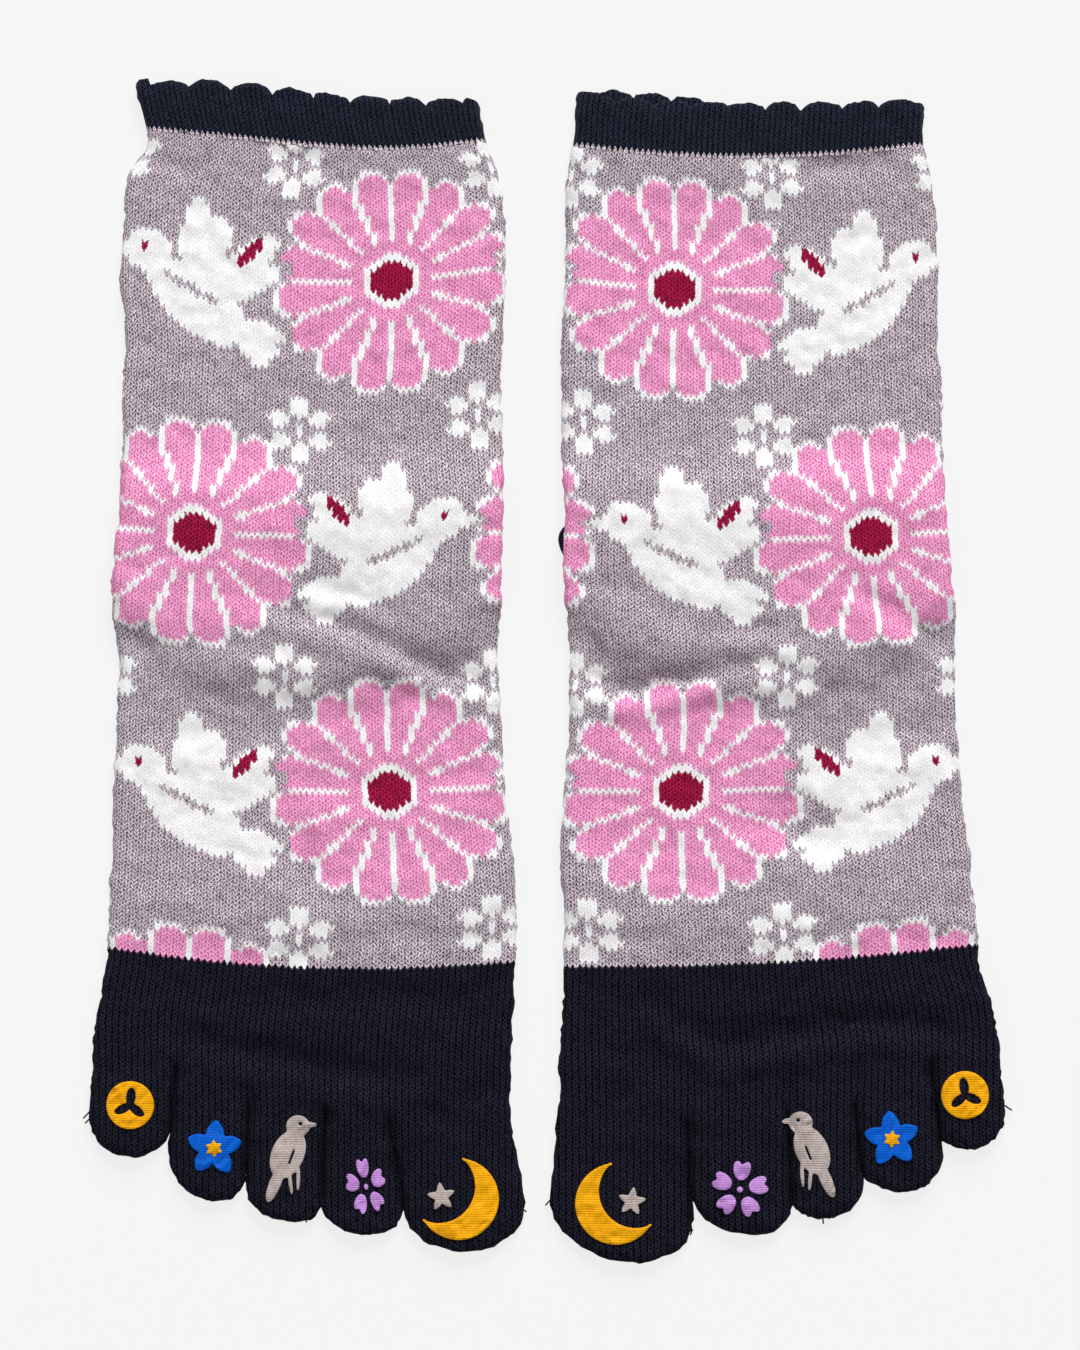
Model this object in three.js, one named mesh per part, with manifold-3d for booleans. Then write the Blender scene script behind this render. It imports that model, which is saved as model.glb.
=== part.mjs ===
// A pair of knitted five-toe socks, lying flat and face up, side by side.
// Millimetres. +Z is up, +Y points to the cuffs, and the socks rest on z = 0.
// Each sock is a flattened knitted tube: a cuff with a scalloped double welt, a leg and foot tube,
// a heel pouch that lies flat underneath, and a forefoot that splits into five toe pockets.
import * as THREE from "three";
import { mergeVertices } from "three/addons/utils/BufferGeometryUtils.js";
import Module from "manifold-3d";

const wasm = await Module();
wasm.setup();

// Driving dimensions
const WALL = 1.1; // jacquard knit, one layer
const WELT = 2.0; // the cuff's double layer
const SEAM_GAP = 0.3; // between two pieces of one sock
const BODY_HEIGHT = 4.2; // a flattened tube, outside to outside
const CUFF_HEIGHT = 5.2;
const TOE_HEIGHT = 4.6;
const EDGE_RADIUS = 2.2; // plan width of the rounded fold along each side
const TOE_EDGE_RADIUS = 2.6;
const CROWN_DROP = 0.08; // share of the height that the top loses towards the sides
const TOE_CROWN_DROP = 0.16;
const SLIT_GAP = 0.5; // between two neighbouring toes
const TOE_TUCK = 0.2; // how deep a toe starts inside the forefoot
const SCALLOP_DEPTH = 1.9;
const SCALLOP_SHARPNESS = 0.55; // under 1, so that the notches are narrow and the scallops round
const HEEL_THICKNESS = 2.9;
const HEEL_LIFT = HEEL_THICKNESS + SEAM_GAP;
const HEEL_CORNER = 5.5; // how far the tube is lifted at the pouch's corners
const HEEL_TIP = 1.8; // half the pouch's width at its corners
const HEEL_ROOM = 5.5; // how far beyond the pouch the tube stays lifted
const HEEL_FADE = 8; // over which the underside comes back to the table
const HEEL_SWELL = { share: 0.92, start: 1, fade: 14 }; // the lift as it shows on the top
const HEEL_POINT = 0.55; // share of the pouch's thickness that is left at its corners
const HEEL_MOUTH = { width: 60, height: 2.4, spare: 0.8 };
const CUFF_STEP = 0.3; // how far the cuff's lower edge stands above the leg
const FOLD_FADE = 0.16; // share of half the width over which creases die out at the sides
const TOE_MIDDLE = 2.3; // height of a toe's middle, about which it thins towards its tip
const TOE_TIP = { height: 2.2, lift: 1.6, start: 0.72, taper: 0.8 };
const TOE_BLEND = 4; // how fast a toe takes on its own height below its root
const LEAST_HOLLOW = 0.3; // height of the inside where the cloth lies together
const OPEN_END = 2; // how far the inside is cut past an open end

// How finely the cloth is divided
const SIDE_STEPS = 4;
const LEG_ROWS = 21;
const LEG_STEPS = 10;
const HEEL_COLUMNS = 10;
const HEEL_STEPS = 6;
const CUFF_STEPS = 35;
const STEPS_PER_SCALLOP = 4;
const FOREFOOT_STEPS = 10;
const FOREFOOT_ROWS = [0, 0.25, 0.5, 0.75, 0.94, 1];
const TOE_STEPS = 4;
const TOE_ROWS = [-0.24, 0, 0.25, 0.5, 0.68, 0.84, 0.96];
const TOE_HOLLOW_ROWS = [-0.34, 0.1, 0.5, 0.75, 0.94];

const NAVY = { color: 0x1b2130, roughness: 0.95, metalness: 0 };
const GROUND = { color: 0xa99aa6, roughness: 0.95, metalness: 0 };

// One table for each sock, in millimetres, for a sock seen from above.
// edges: where the left and right folds run. courses: how a knitted row at height y bends from
// side to side. slits: the lines between the toes, with both outer edges; before and after are
// where the toe on the left and the toe on the right of the line start to round off.
// folds: soft troughs from one point to another, with a negative rise.
const LEFT_SOCK = {
  name: "left",
  cuffTop: 145.2,
  cuffBase: 131.2,
  toeLine: -74.7,
  backRise: { left: 0, right: 0 },
  scallopStart: 0,
  edges: [
    { y: 147, left: -102.8, right: -17.3 },
    { y: 140.7, left: -101.5, right: -17.0 },
    { y: 132.5, left: -100.0, right: -15.2 },
    { y: 124.7, left: -104.4, right: -12.3 },
    { y: 114, left: -105.7, right: -10.8 },
    { y: 96.7, left: -106.7, right: -10.5 },
    { y: 84, left: -105.6, right: -11.0 },
    { y: 71.5, left: -106.1, right: -11.8 },
    { y: 55.2, left: -106.5, right: -11.0 },
    { y: 40.7, left: -107.0, right: -10.9 },
    { y: 27.7, left: -108.2, right: -11.2 },
    { y: 15.2, left: -108.7, right: -11.6 },
    { y: 4, left: -107.2, right: -12.4 },
    { y: -9.7, left: -107.7, right: -11.6 },
    { y: -27.2, left: -108.1, right: -10.7 },
    { y: -47.2, left: -109.0, right: -8.5 },
    { y: -64.7, left: -110.0, right: -7.5 },
    { y: -84.7, left: -111.2, right: -8.4 },
    { y: -99.7, left: -113.5, right: -9.0 },
    { y: -114.2, left: -114.6, right: -8.8 },
  ],
  courses: [
    { y: 145.2, tilt: -1.9, bow: 0.6, sway: -1.1 },
    { y: 131.2, tilt: -1.4, bow: 2.9, sway: -0.7 },
    { y: 30, tilt: -0.5, bow: 1.6, sway: 0 },
    { y: -74.7, tilt: -1.8, bow: 3.4, sway: 0 },
  ],
  slits: [
    { rootX: -113.5, rootY: -99.7, sideX: -114.7, before: 0, after: -110.5 },
    { rootX: -92.9, rootY: -100.5, sideX: -94.4, before: -111, after: -119.7 },
    { rootX: -74.7, rootY: -110.7, sideX: -75.3, before: -125.2, after: -127.2 },
    { rootX: -55.5, rootY: -111.3, sideX: -56.4, before: -130.2, after: -131.2 },
    { rootX: -39.4, rootY: -114.3, sideX: -35.9, before: -133.2, after: -132.7 },
    { rootX: -8.8, rootY: -114.2, sideX: -5.5, before: -133, after: 0 },
  ],
  tips: [
    { x: -103.5, y: -121.6 },
    { x: -82, y: -132.5 },
    { x: -62.5, y: -137.9 },
    { x: -45, y: -141 },
    { x: -20.2, y: -145.2 },
  ],
  heel: { middleY: 22, cornerY: 32, halfHeight: 14, overhang: { left: -0.6, right: -0.6 } },
  folds: [
    { fromX: -80, fromY: 128, toX: -37, toY: 126.5, width: 4, rise: -0.7 },
    { fromX: -62, fromY: 20, toX: -40, toY: 16.5, width: 3, rise: -0.4 },
    { fromX: -50, fromY: 9.7, toX: -13, toY: -4.7, width: 3.2, rise: -0.8 },
    { fromX: -99, fromY: 4, toX: -70, toY: 5.7, width: 3.2, rise: -0.7 },
    { fromX: -62, fromY: -46, toX: -54, toY: -54, width: 5, rise: -0.4 },
    { fromX: -96, fromY: -97, toX: -62, toY: -95.5, width: 5, rise: -0.8 },
    { fromX: -62, fromY: -95.5, toX: -36, toY: -102, width: 5, rise: -0.8 },
  ],
};

const RIGHT_SOCK = {
  name: "right",
  cuffTop: 142.2,
  cuffBase: 128.4,
  toeLine: -73.4,
  backRise: { left: 1.6, right: 0 },
  scallopStart: 3,
  edges: [
    { y: 144, left: 7.6, right: 94.5 },
    { y: 139, left: 7.0, right: 94.4 },
    { y: 131.5, left: 6.6, right: 94.0 },
    { y: 124.7, left: 5.0, right: 96.0 },
    { y: 114, left: 4.5, right: 97.5 },
    { y: 96.7, left: 4.3, right: 97.6 },
    { y: 82.7, left: 3.6, right: 97.9 },
    { y: 67.7, left: 3.3, right: 98.7 },
    { y: 52.7, left: 3.8, right: 99.1 },
    { y: 37.7, left: 4.5, right: 100.0 },
    { y: 27.7, left: 3.9, right: 100.8 },
    { y: 15.2, left: 4.8, right: 102.0 },
    { y: 1.5, left: 5.7, right: 102.0 },
    { y: -12.2, left: 5.6, right: 102.4 },
    { y: -27.2, left: 4.3, right: 103.6 },
    { y: -47.2, left: 3.5, right: 105.8 },
    { y: -63.5, left: 4.1, right: 107.4 },
    { y: -84.7, left: 4.1, right: 109.6 },
    { y: -99.7, left: 3.5, right: 113.2 },
    { y: -110, left: 3.0, right: 114.6 },
  ],
  courses: [
    { y: 142.2, tilt: -0.6, bow: 2.0, sway: 0 },
    { y: 128.4, tilt: 0.1, bow: 3.1, sway: 0 },
    { y: 30, tilt: 0.5, bow: 1.6, sway: 0 },
    { y: -73.4, tilt: 2.8, bow: 1.8, sway: 0 },
  ],
  slits: [
    { rootX: 3.0, rootY: -110, sideX: 0.6, before: 0, after: -131.5 },
    { rootX: 35.2, rootY: -114.7, sideX: 36.1, before: -137.7, after: -127.2 },
    { rootX: 60, rootY: -111.5, sideX: 61.5, before: -132.2, after: -133.2 },
    { rootX: 77, rootY: -109.7, sideX: 78.9, before: -126, after: -125.2 },
    { rootX: 96.2, rootY: -99.9, sideX: 98.7, before: -119.7, after: -116.7 },
    { rootX: 113.2, rootY: -99.7, sideX: 114.8, before: -109.2, after: 0 },
  ],
  tips: [
    { x: 23.7, y: -147.75 },
    { x: 52.5, y: -141 },
    { x: 69, y: -137 },
    { x: 88.7, y: -130.2 },
    { x: 104.7, y: -119.5 },
  ],
  heel: { middleY: 22, cornerY: 33, halfHeight: 14, overhang: { left: 1.4, right: -0.6 } },
  folds: [
    { fromX: 56, fromY: 126.5, toX: 84, toY: 125.7, width: 4, rise: -0.8 },
    { fromX: 8, fromY: -5.2, toX: 29, toY: -3.5, width: 3.2, rise: -0.8 },
    { fromX: 29, fromY: -3.5, toX: 57, toY: 10.2, width: 3.2, rise: -0.6 },
    { fromX: 38, fromY: 1.5, toX: 71, toY: -5.2, width: 3.2, rise: -0.5 },
    { fromX: 79, fromY: 17.2, toX: 101, toY: 5.7, width: 3.2, rise: -0.8 },
    { fromX: 52, fromY: -41, toX: 67, toY: -41, width: 5, rise: -0.6 },
    { fromX: 36, fromY: -89.7, toX: 53, toY: -94.7, width: 5, rise: -0.8 },
    { fromX: 53, fromY: -94.7, toX: 78, toY: -85, width: 5, rise: -0.8 },
    { fromX: 78, fromY: -85, toX: 105, toY: -88.5, width: 5, rise: -0.7 },
  ],
};

const mix = (a, b, t) => a + (b - a) * t;
const clamp01 = (t) => Math.min(1, Math.max(0, t));
const smooth = (t) => clamp01(t) ** 2 * (3 - 2 * clamp01(t));
const evenly = (count) => Array.from({ length: count + 1 }, (_, i) => i / count);
const backwards = (list) => [...list].reverse();

// A smooth curve through the rows of a table, by cubic pieces with averaged slopes.
function curveThrough(rows, key, value) {
  const sorted = [...rows].sort((a, b) => a[key] - b[key]);
  const slopes = sorted.map((row, i) => {
    const before = sorted[Math.max(i - 1, 0)];
    const after = sorted[Math.min(i + 1, sorted.length - 1)];
    return (after[value] - before[value]) / (after[key] - before[key]);
  });
  return (at) => {
    const x = Math.min(Math.max(at, sorted[0][key]), sorted.at(-1)[key]);
    let i = 0;
    while (i < sorted.length - 2 && x > sorted[i + 1][key]) i += 1;
    const span = sorted[i + 1][key] - sorted[i][key];
    const t = (x - sorted[i][key]) / span;
    const bend = t * (1 - t) * span;
    return (
      mix(sorted[i][value], sorted[i + 1][value], t * t * (3 - 2 * t)) +
      bend * ((1 - t) * slopes[i] - t * slopes[i + 1])
    );
  };
}

// How far a soft fold lifts or lowers the cloth at a point.
function foldRise(fold, x, y) {
  const dx = fold.toX - fold.fromX;
  const dy = fold.toY - fold.fromY;
  const length = Math.hypot(dx, dy);
  const along = ((x - fold.fromX) * dx + (y - fold.fromY) * dy) / length;
  const across = ((x - fold.fromX) * dy - (y - fold.fromY) * dx) / length;
  const beyond = Math.max(0, -along, along - length);
  return fold.rise * Math.exp(-((across / fold.width) ** 2 + (beyond / (2 * fold.width)) ** 2));
}

// The shape functions of one sock, worked out from its table.
function shapeOf(sock) {
  const left = curveThrough(sock.edges, "y", "left");
  const right = curveThrough(sock.edges, "y", "right");
  const tilt = curveThrough(sock.courses, "y", "tilt");
  const bow = curveThrough(sock.courses, "y", "bow");
  const sway = curveThrough(sock.courses, "y", "sway");
  const rootY = curveThrough(sock.slits, "rootX", "rootY");
  const share = (x, y) => (2 * (x - left(y))) / (right(y) - left(y)) - 1;
  const rowY = (v, s) => v + tilt(v) * s + bow(v) * s * s + sway(v) * Math.sin(Math.PI * s);

  // The heel pouch: its middle line bends down between its corners at both side folds.
  const heelMiddle = (s) => mix(sock.heel.middleY, sock.heel.cornerY, s * s);
  const heelHalf = (s) => HEEL_CORNER + sock.heel.halfHeight * Math.sqrt(Math.max(0, 1 - s * s));
  const outsideHeel = (x, y) => {
    const s = share(x, y);
    return Math.abs(y - heelMiddle(s)) - heelHalf(s);
  };
  const under = (x, y) => HEEL_LIFT * (1 - smooth((outsideHeel(x, y) - HEEL_ROOM) / HEEL_FADE));
  const lift = (x, y) => {
    const beyond = (outsideHeel(x, y) - HEEL_SWELL.start) / HEEL_SWELL.fade;
    return HEEL_LIFT * HEEL_SWELL.share * (1 - smooth(beyond));
  };
  const top = (x, y) => {
    const s = share(x, y);
    const folds = sock.folds.reduce((sum, fold) => sum + foldRise(fold, x, y), 0);
    const fade = smooth((1 - Math.abs(s)) / FOLD_FADE);
    return BODY_HEIGHT * (1 - CROWN_DROP * s * s) + lift(x, y) + folds * fade;
  };
  return { left, right, rowY, rootY, share, heelMiddle, heelHalf, under, top };
}

// A ring round a flattened tube: the top from left to right, the right fold, the bottom from
// right to left, and the left fold. wall moves it inwards, for the inside of the cloth.
function ringAt({ place, top, under, wall, radius, steps }) {
  const start = place(0);
  const end = place(1);
  const width = Math.hypot(end.x - start.x, end.y - start.y);
  const inset = (radius + wall / 2) / width;
  const reach = radius - wall / 2;
  const spots = evenly(steps).map((f) => place(inset + f * (1 - 2 * inset)));
  const heights = (p) => {
    const low = under(p.x, p.y) + wall;
    return { low, high: Math.max(top(p.x, p.y) - wall, low + LEAST_HOLLOW) };
  };
  const fold = (p, edge, turn) =>
    evenly(SIDE_STEPS).slice(1, -1).map((t) => {
      const angle = Math.PI * (t - 0.5) * turn;
      const out = (reach * Math.cos(angle)) / width;
      const q = place(edge === 0 ? inset - out : 1 - inset + out);
      const { low, high } = heights(p);
      return [q.x, q.y, mix(low, high, 0.5 + 0.5 * Math.sin(angle))];
    });
  return [
    ...spots.map((p) => [p.x, p.y, heights(p).high]),
    ...fold(spots.at(-1), 1, -1),
    ...backwards(spots).map((p) => [p.x, p.y, heights(p).low]),
    ...fold(spots[0], 0, 1),
  ];
}

// The strip of triangles between two rings.
function bandBetween(first, second) {
  return first.flatMap((point, i) => {
    const j = (i + 1) % first.length;
    return [point, second[i], second[j], point, second[j], first[j]];
  });
}

// A flat end: a strip from fold to fold between the ring's upper and lower half.
function stripOver(ring, hinge) {
  const half = ring.length / 2;
  const upper = evenly(half).map((_, j) => ring[(hinge + j) % ring.length]);
  const lower = evenly(half).map((_, j) => ring[(hinge - j + ring.length) % ring.length]);
  return upper.slice(1).flatMap((next, j) => [
    ...(j > 0 ? [upper[j], lower[j], next] : []),
    ...(j < half - 1 ? [next, lower[j], lower[j + 1]] : []),
  ]);
}

// A closed solid along rings of equal length. Its ends are flat, or come together in a tip.
function loft(rings, { hinge = rings[0].length - SIDE_STEPS / 2, tip = null } = {}) {
  const last = rings.at(-1);
  const bands = rings.slice(1).flatMap((ring, i) => bandBetween(rings[i], ring));
  const fan = (point, i) => [point, tip, last[(i + 1) % last.length]];
  const end = tip ? last.flatMap(fan) : stripOver(last, hinge);
  return solidOf([...stripOver(rings[0], hinge).reverse(), ...bands, ...end]);
}

function solidOf(corners) {
  const geometry = new THREE.BufferGeometry();
  geometry.setAttribute("position", new THREE.Float32BufferAttribute(corners.flat(), 3));
  return manifoldOf(geometry);
}

function manifoldOf(geometry) {
  const bare = geometry.index ? geometry.toNonIndexed() : geometry;
  bare.deleteAttribute("normal");
  bare.deleteAttribute("uv");
  const merged = mergeVertices(bare, 1e-4);
  return new wasm.Manifold(
    new wasm.Mesh({
      numProp: 3,
      vertProperties: merged.attributes.position.array,
      triVerts: new Uint32Array(merged.index.array),
    }),
  );
}

function meshOf(name, solid, finish) {
  const { vertProperties, triVerts } = solid.getMesh();
  const geometry = new THREE.BufferGeometry();
  geometry.setAttribute("position", new THREE.BufferAttribute(vertProperties, 3));
  geometry.setIndex(new THREE.BufferAttribute(triVerts, 1));
  geometry.computeVertexNormals();
  const mesh = new THREE.Mesh(geometry, new THREE.MeshStandardMaterial(finish));
  mesh.name = name;
  return mesh;
}

// A knitted row at height v, from the left fold (f = 0) to the right fold (f = 1).
function rowPlace(shape, v) {
  const leftY = shape.rowY(v, -1);
  const rightY = shape.rowY(v, 1);
  const leftX = shape.left(leftY);
  const rightX = shape.right(rightY);
  return (f) => ({ x: mix(leftX, rightX, f), y: shape.rowY(v, 2 * f - 1) });
}

// The leg and foot tube, open at the cuff and where the forefoot begins.
function legAndFoot(sock, shape) {
  const layer = (wall, from, to) =>
    loft(
      evenly(LEG_ROWS).map((t) =>
        ringAt({
          place: rowPlace(shape, mix(from, to, t)),
          top: shape.top,
          under: shape.under,
          wall,
          radius: EDGE_RADIUS,
          steps: LEG_STEPS,
        }),
      ),
    );
  const start = sock.cuffBase - SEAM_GAP / 2;
  const end = sock.toeLine + SEAM_GAP / 2;
  const inside = layer(WALL, start + OPEN_END, end - OPEN_END);
  return layer(0, start, end).subtract(inside).subtract(heelMouth(sock, shape));
}

// The slot through which the back of the tube opens into the heel pouch.
function heelMouth(sock, shape) {
  const y = sock.heel.middleY;
  const depth = 2 * WALL + SEAM_GAP + HEEL_MOUTH.spare;
  const box = new THREE.BoxGeometry(HEEL_MOUTH.width, HEEL_MOUTH.height, depth);
  box.translate((shape.left(y) + shape.right(y)) / 2, y, HEEL_THICKNESS + SEAM_GAP / 2);
  return manifoldOf(box);
}

// The heel pouch: a flat bag under the back of the tube, pointed at both side folds.
function heelPouch(sock, shape) {
  const { cornerY, overhang } = sock.heel;
  const startX = shape.left(cornerY) - overhang.left;
  const endX = shape.right(cornerY) + overhang.right;
  const layer = (wall) =>
    loft(
      evenly(HEEL_COLUMNS).map((t) => {
        const s = -Math.cos(Math.PI * t);
        const x = mix(startX + wall, endX - wall, 0.5 + 0.5 * s);
        const half = Math.max(shape.heelHalf(s) - HEEL_CORNER + HEEL_TIP - wall, LEAST_HOLLOW);
        const middleY = shape.heelMiddle(s);
        const thickness = HEEL_THICKNESS * mix(HEEL_POINT, 1, Math.sqrt(1 - s ** 8));
        const high = thickness - wall;
        const low = Math.min(wall, high - LEAST_HOLLOW / 2);
        const ys = evenly(HEEL_STEPS).map((k) => middleY - half * Math.cos(Math.PI * k));
        const isEnd = (i) => i === 0 || i === HEEL_STEPS;
        return [
          ...ys.map((y, i) => [x, y, isEnd(i) ? (low + high) / 2 : high]),
          ...backwards(ys.slice(1, -1)).map((y) => [x, y, low]),
        ];
      }),
      { hinge: 0 },
    );
  return layer(0).subtract(layer(WALL)).subtract(heelMouth(sock, shape));
}

// The cuff: a welt turned over at its scalloped top edge, so its wall is a double layer.
// up: share of the cuff's height. into: share of the welt's thickness.
function cuff(sock, shape) {
  const base = sock.cuffBase + SEAM_GAP / 2;
  const profile = [
    { up: 0, into: 0 },
    { up: 0.5, into: 0 },
    { up: 0.86, into: 0 },
    { up: 0.97, into: 0.18 },
    { up: 1, into: 0.5 },
    { up: 0.97, into: 0.82 },
    { up: 0.86, into: 1 },
    { up: 0, into: 1 },
  ];
  const top = (x, y) => {
    const up = smooth((y - sock.cuffBase) / (sock.cuffTop - sock.cuffBase));
    return mix(BODY_HEIGHT + CUFF_STEP, CUFF_HEIGHT, up) * (1 - CROWN_DROP * shape.share(x, y) ** 2);
  };
  const rings = profile.map(({ up, into }) => {
    const ring = ringAt({
      place: rowPlace(shape, mix(base, sock.cuffTop, up)),
      top,
      under: () => 0,
      wall: into * WELT,
      radius: EDGE_RADIUS,
      steps: CUFF_STEPS,
    });
    const onBack = (i) => i > CUFF_STEPS + SIDE_STEPS - 1 && i < 2 * CUFF_STEPS + SIDE_STEPS + 1;
    return ring.map(([x, y, z], i) => {
      const wave = Math.abs(Math.sin((Math.PI * (i - sock.scallopStart)) / STEPS_PER_SCALLOP));
      const notch = SCALLOP_DEPTH * (wave ** SCALLOP_SHARPNESS - 1);
      const across = clamp01((1 + shape.share(x, y)) / 2);
      const rise = onBack(i) ? mix(sock.backRise.left, sock.backRise.right, across) : 0;
      return [x, y + (notch + rise) * up, z];
    });
  });
  const loop = backwards([...rings, rings[0]]);
  return solidOf(loop.slice(1).flatMap((ring, i) => bandBetween(loop[i], ring)));
}

// One layer of the forefoot, from the row at startV down to where the toes begin.
function forefoot(sock, shape, wall, startV) {
  const { slits } = sock;
  const start = rowPlace(shape, startV);
  const endTop = (t) => (t === 1 ? TOE_TUCK * 2 : 0);
  return loft(
    FOREFOOT_ROWS.map((t) =>
      ringAt({
        place: (f) => {
          const rootY = shape.rootY(mix(slits[0].rootX, slits.at(-1).rootX, f)) + wall;
          const y = mix(start(f).y, rootY, t);
          return { x: mix(shape.left(y), shape.right(y), f), y };
        },
        top: (x, y) => shape.top(x, y) - endTop(t),
        under: shape.under,
        wall,
        radius: EDGE_RADIUS,
        steps: FOREFOOT_STEPS,
      }),
    ),
  );
}

// One layer of one toe pocket. It starts inside the forefoot, runs down between two slits and
// rounds off to a slanted tip. q is 0 at the root, 0.5 at the shoulders and 1 at the tip.
function toe(sock, shape, index, wall) {
  const tip = sock.tips[index];
  const side = (slit, shoulder, isOuter, turn) => (q) => {
    const tuck = isOuter && q < 0 ? TOE_TUCK * 2 : 0;
    const shift = turn * ((isOuter ? 0 : SLIT_GAP / 2) + tuck);
    if (q <= 0.5) {
      const t = 2 * q;
      return {
        x: mix(slit.rootX, slit.sideX, t) + shift,
        y: mix(slit.rootY, shoulder, t),
      };
    }
    const angle = Math.PI * (q - 0.5);
    return {
      x: mix(tip.x, slit.sideX + shift, Math.cos(angle)),
      y: mix(shoulder, tip.y + wall, Math.sin(angle)),
    };
  };
  const before = sock.slits[index];
  const after = sock.slits[index + 1];
  const leftSide = side(before, before.after, index === 0, 1);
  const rightSide = side(after, after.before, index === sock.tips.length - 1, -1);
  const rows = wall > 0 ? TOE_HOLLOW_ROWS : TOE_ROWS;
  const rings = rows.map((q) => {
    const from = leftSide(q);
    const to = rightSide(q);
    const half = Math.hypot(to.x - from.x, to.y - from.y) / 2;
    const rounded = clamp01((q - TOE_TIP.start) / (1 - TOE_TIP.start));
    const thinned = Math.sqrt(1 - TOE_TIP.taper * rounded ** 2);
    const top = (x, y) => {
      const s = clamp01((x - from.x) / (to.x - from.x)) * 2 - 1;
      const own = TOE_HEIGHT * (1 - TOE_CROWN_DROP * s * s);
      const joined = mix(shape.top(x, y) - TOE_TUCK, own, smooth(q * TOE_BLEND));
      return (joined - TOE_MIDDLE) * thinned + TOE_MIDDLE;
    };
    const raised = (q <= 0 ? TOE_TUCK : 0) + TOE_TIP.lift * (1 - thinned);
    const under = (x, y) => shape.under(x, y) + raised;
    return ringAt({
      place: (f) => ({ x: mix(from.x, to.x, f), y: mix(from.y, to.y, f) }),
      top,
      under,
      wall: Math.min(wall, half * 0.5),
      radius: Math.min(TOE_EDGE_RADIUS, 0.42 * half),
      steps: TOE_STEPS,
    });
  });
  return loft(rings, { tip: [tip.x, tip.y + wall, TOE_TIP.height] });
}

// The forefoot, open towards the leg, with its five toe pockets.
function toeSection(sock, shape) {
  const layer = (wall, startV) =>
    sock.tips.reduce(
      (whole, _, index) => whole.add(toe(sock, shape, index, wall)),
      forefoot(sock, shape, wall, startV),
    );
  const start = sock.toeLine - SEAM_GAP / 2;
  return layer(0, start).subtract(layer(WALL, start + OPEN_END));
}

const pair = new THREE.Group();
for (const sock of [LEFT_SOCK, RIGHT_SOCK]) {
  const shape = shapeOf(sock);
  const group = new THREE.Group();
  group.add(
    meshOf(`${sock.name}_cuff`, cuff(sock, shape), NAVY),
    meshOf(`${sock.name}_leg_foot`, legAndFoot(sock, shape), GROUND),
    meshOf(`${sock.name}_heel`, heelPouch(sock, shape), NAVY),
    meshOf(`${sock.name}_toe_section`, toeSection(sock, shape), NAVY),
  );
  pair.add(group);
}

export default pair;
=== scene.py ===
# %% [markdown]
# # A pair of toe socks, laid flat
#
# A toe sock is one long knitted tube. It starts with a turned-over welt at the cuff, runs down
# the leg and foot in patterned jacquard, bags out at the heel, and ends in five small tubes.
# These two lie face up on a pale table, seen from straight above.
#
# The solids of the part are already there. This script loads them, models the
# soft cloth over them, and gives the cloth its stitches, its colours and its embroidery.

# %% Load the fixed frame
import math

import bpy
import numpy as np
from mathutils import Matrix, Vector
from mathutils.bvhtree import BVHTree


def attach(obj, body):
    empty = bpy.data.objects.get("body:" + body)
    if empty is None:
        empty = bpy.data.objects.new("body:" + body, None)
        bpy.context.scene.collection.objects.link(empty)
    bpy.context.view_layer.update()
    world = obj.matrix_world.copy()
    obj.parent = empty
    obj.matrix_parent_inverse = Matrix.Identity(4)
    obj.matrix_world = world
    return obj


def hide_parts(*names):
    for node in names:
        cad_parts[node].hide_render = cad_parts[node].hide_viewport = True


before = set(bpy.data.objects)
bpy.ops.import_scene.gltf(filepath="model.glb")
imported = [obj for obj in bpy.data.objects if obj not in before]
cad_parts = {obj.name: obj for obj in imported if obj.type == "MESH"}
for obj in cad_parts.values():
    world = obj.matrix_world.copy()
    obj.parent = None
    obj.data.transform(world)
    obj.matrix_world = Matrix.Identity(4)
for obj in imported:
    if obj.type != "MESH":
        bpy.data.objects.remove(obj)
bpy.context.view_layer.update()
MM = 0.001
print("solids", sorted(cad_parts))

# %% [markdown]
# ## The camera
#
# The socks were photographed from straight above. A long lens far away keeps every toe the same
# size, as the photograph shows it. One pixel of the photograph is a quarter of a millimetre on
# the cloth, so the picture's 1080 by 1350 pixels take in 270 by 337.5 mm.

# %% Camera
PIXEL = 0.25 * MM
PICTURE_PIXELS = (1080, 1350)
ORIGIN_PIXEL = (547, 671)
CAMERA_HEIGHT = 1.8
CLOTH_HEIGHT = 4 * MM

bpy.ops.object.camera_add(
    location=(
        (PICTURE_PIXELS[0] / 2 - ORIGIN_PIXEL[0]) * PIXEL,
        (ORIGIN_PIXEL[1] - PICTURE_PIXELS[1] / 2) * PIXEL,
        CAMERA_HEIGHT,
    )
)
camera = bpy.context.object
camera.data.sensor_fit = "HORIZONTAL"
picture_width = PICTURE_PIXELS[0] * PIXEL
camera.data.lens = camera.data.sensor_width * (CAMERA_HEIGHT - CLOTH_HEIGHT) / picture_width
bpy.context.scene.camera = camera
print("lens", round(camera.data.lens), "mm")

# %% [markdown]
# ## Sizes
#
# Everything below is worked out from a few sizes of the real sock, in millimetres: how thick
# the cloth is, how high the flattened tube stands, and how many stitches go round it. Counting
# stitches matters most. The pattern, the boundaries between colours and the texture are all
# built from whole stitches, as the knitting machine builds them.

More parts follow.
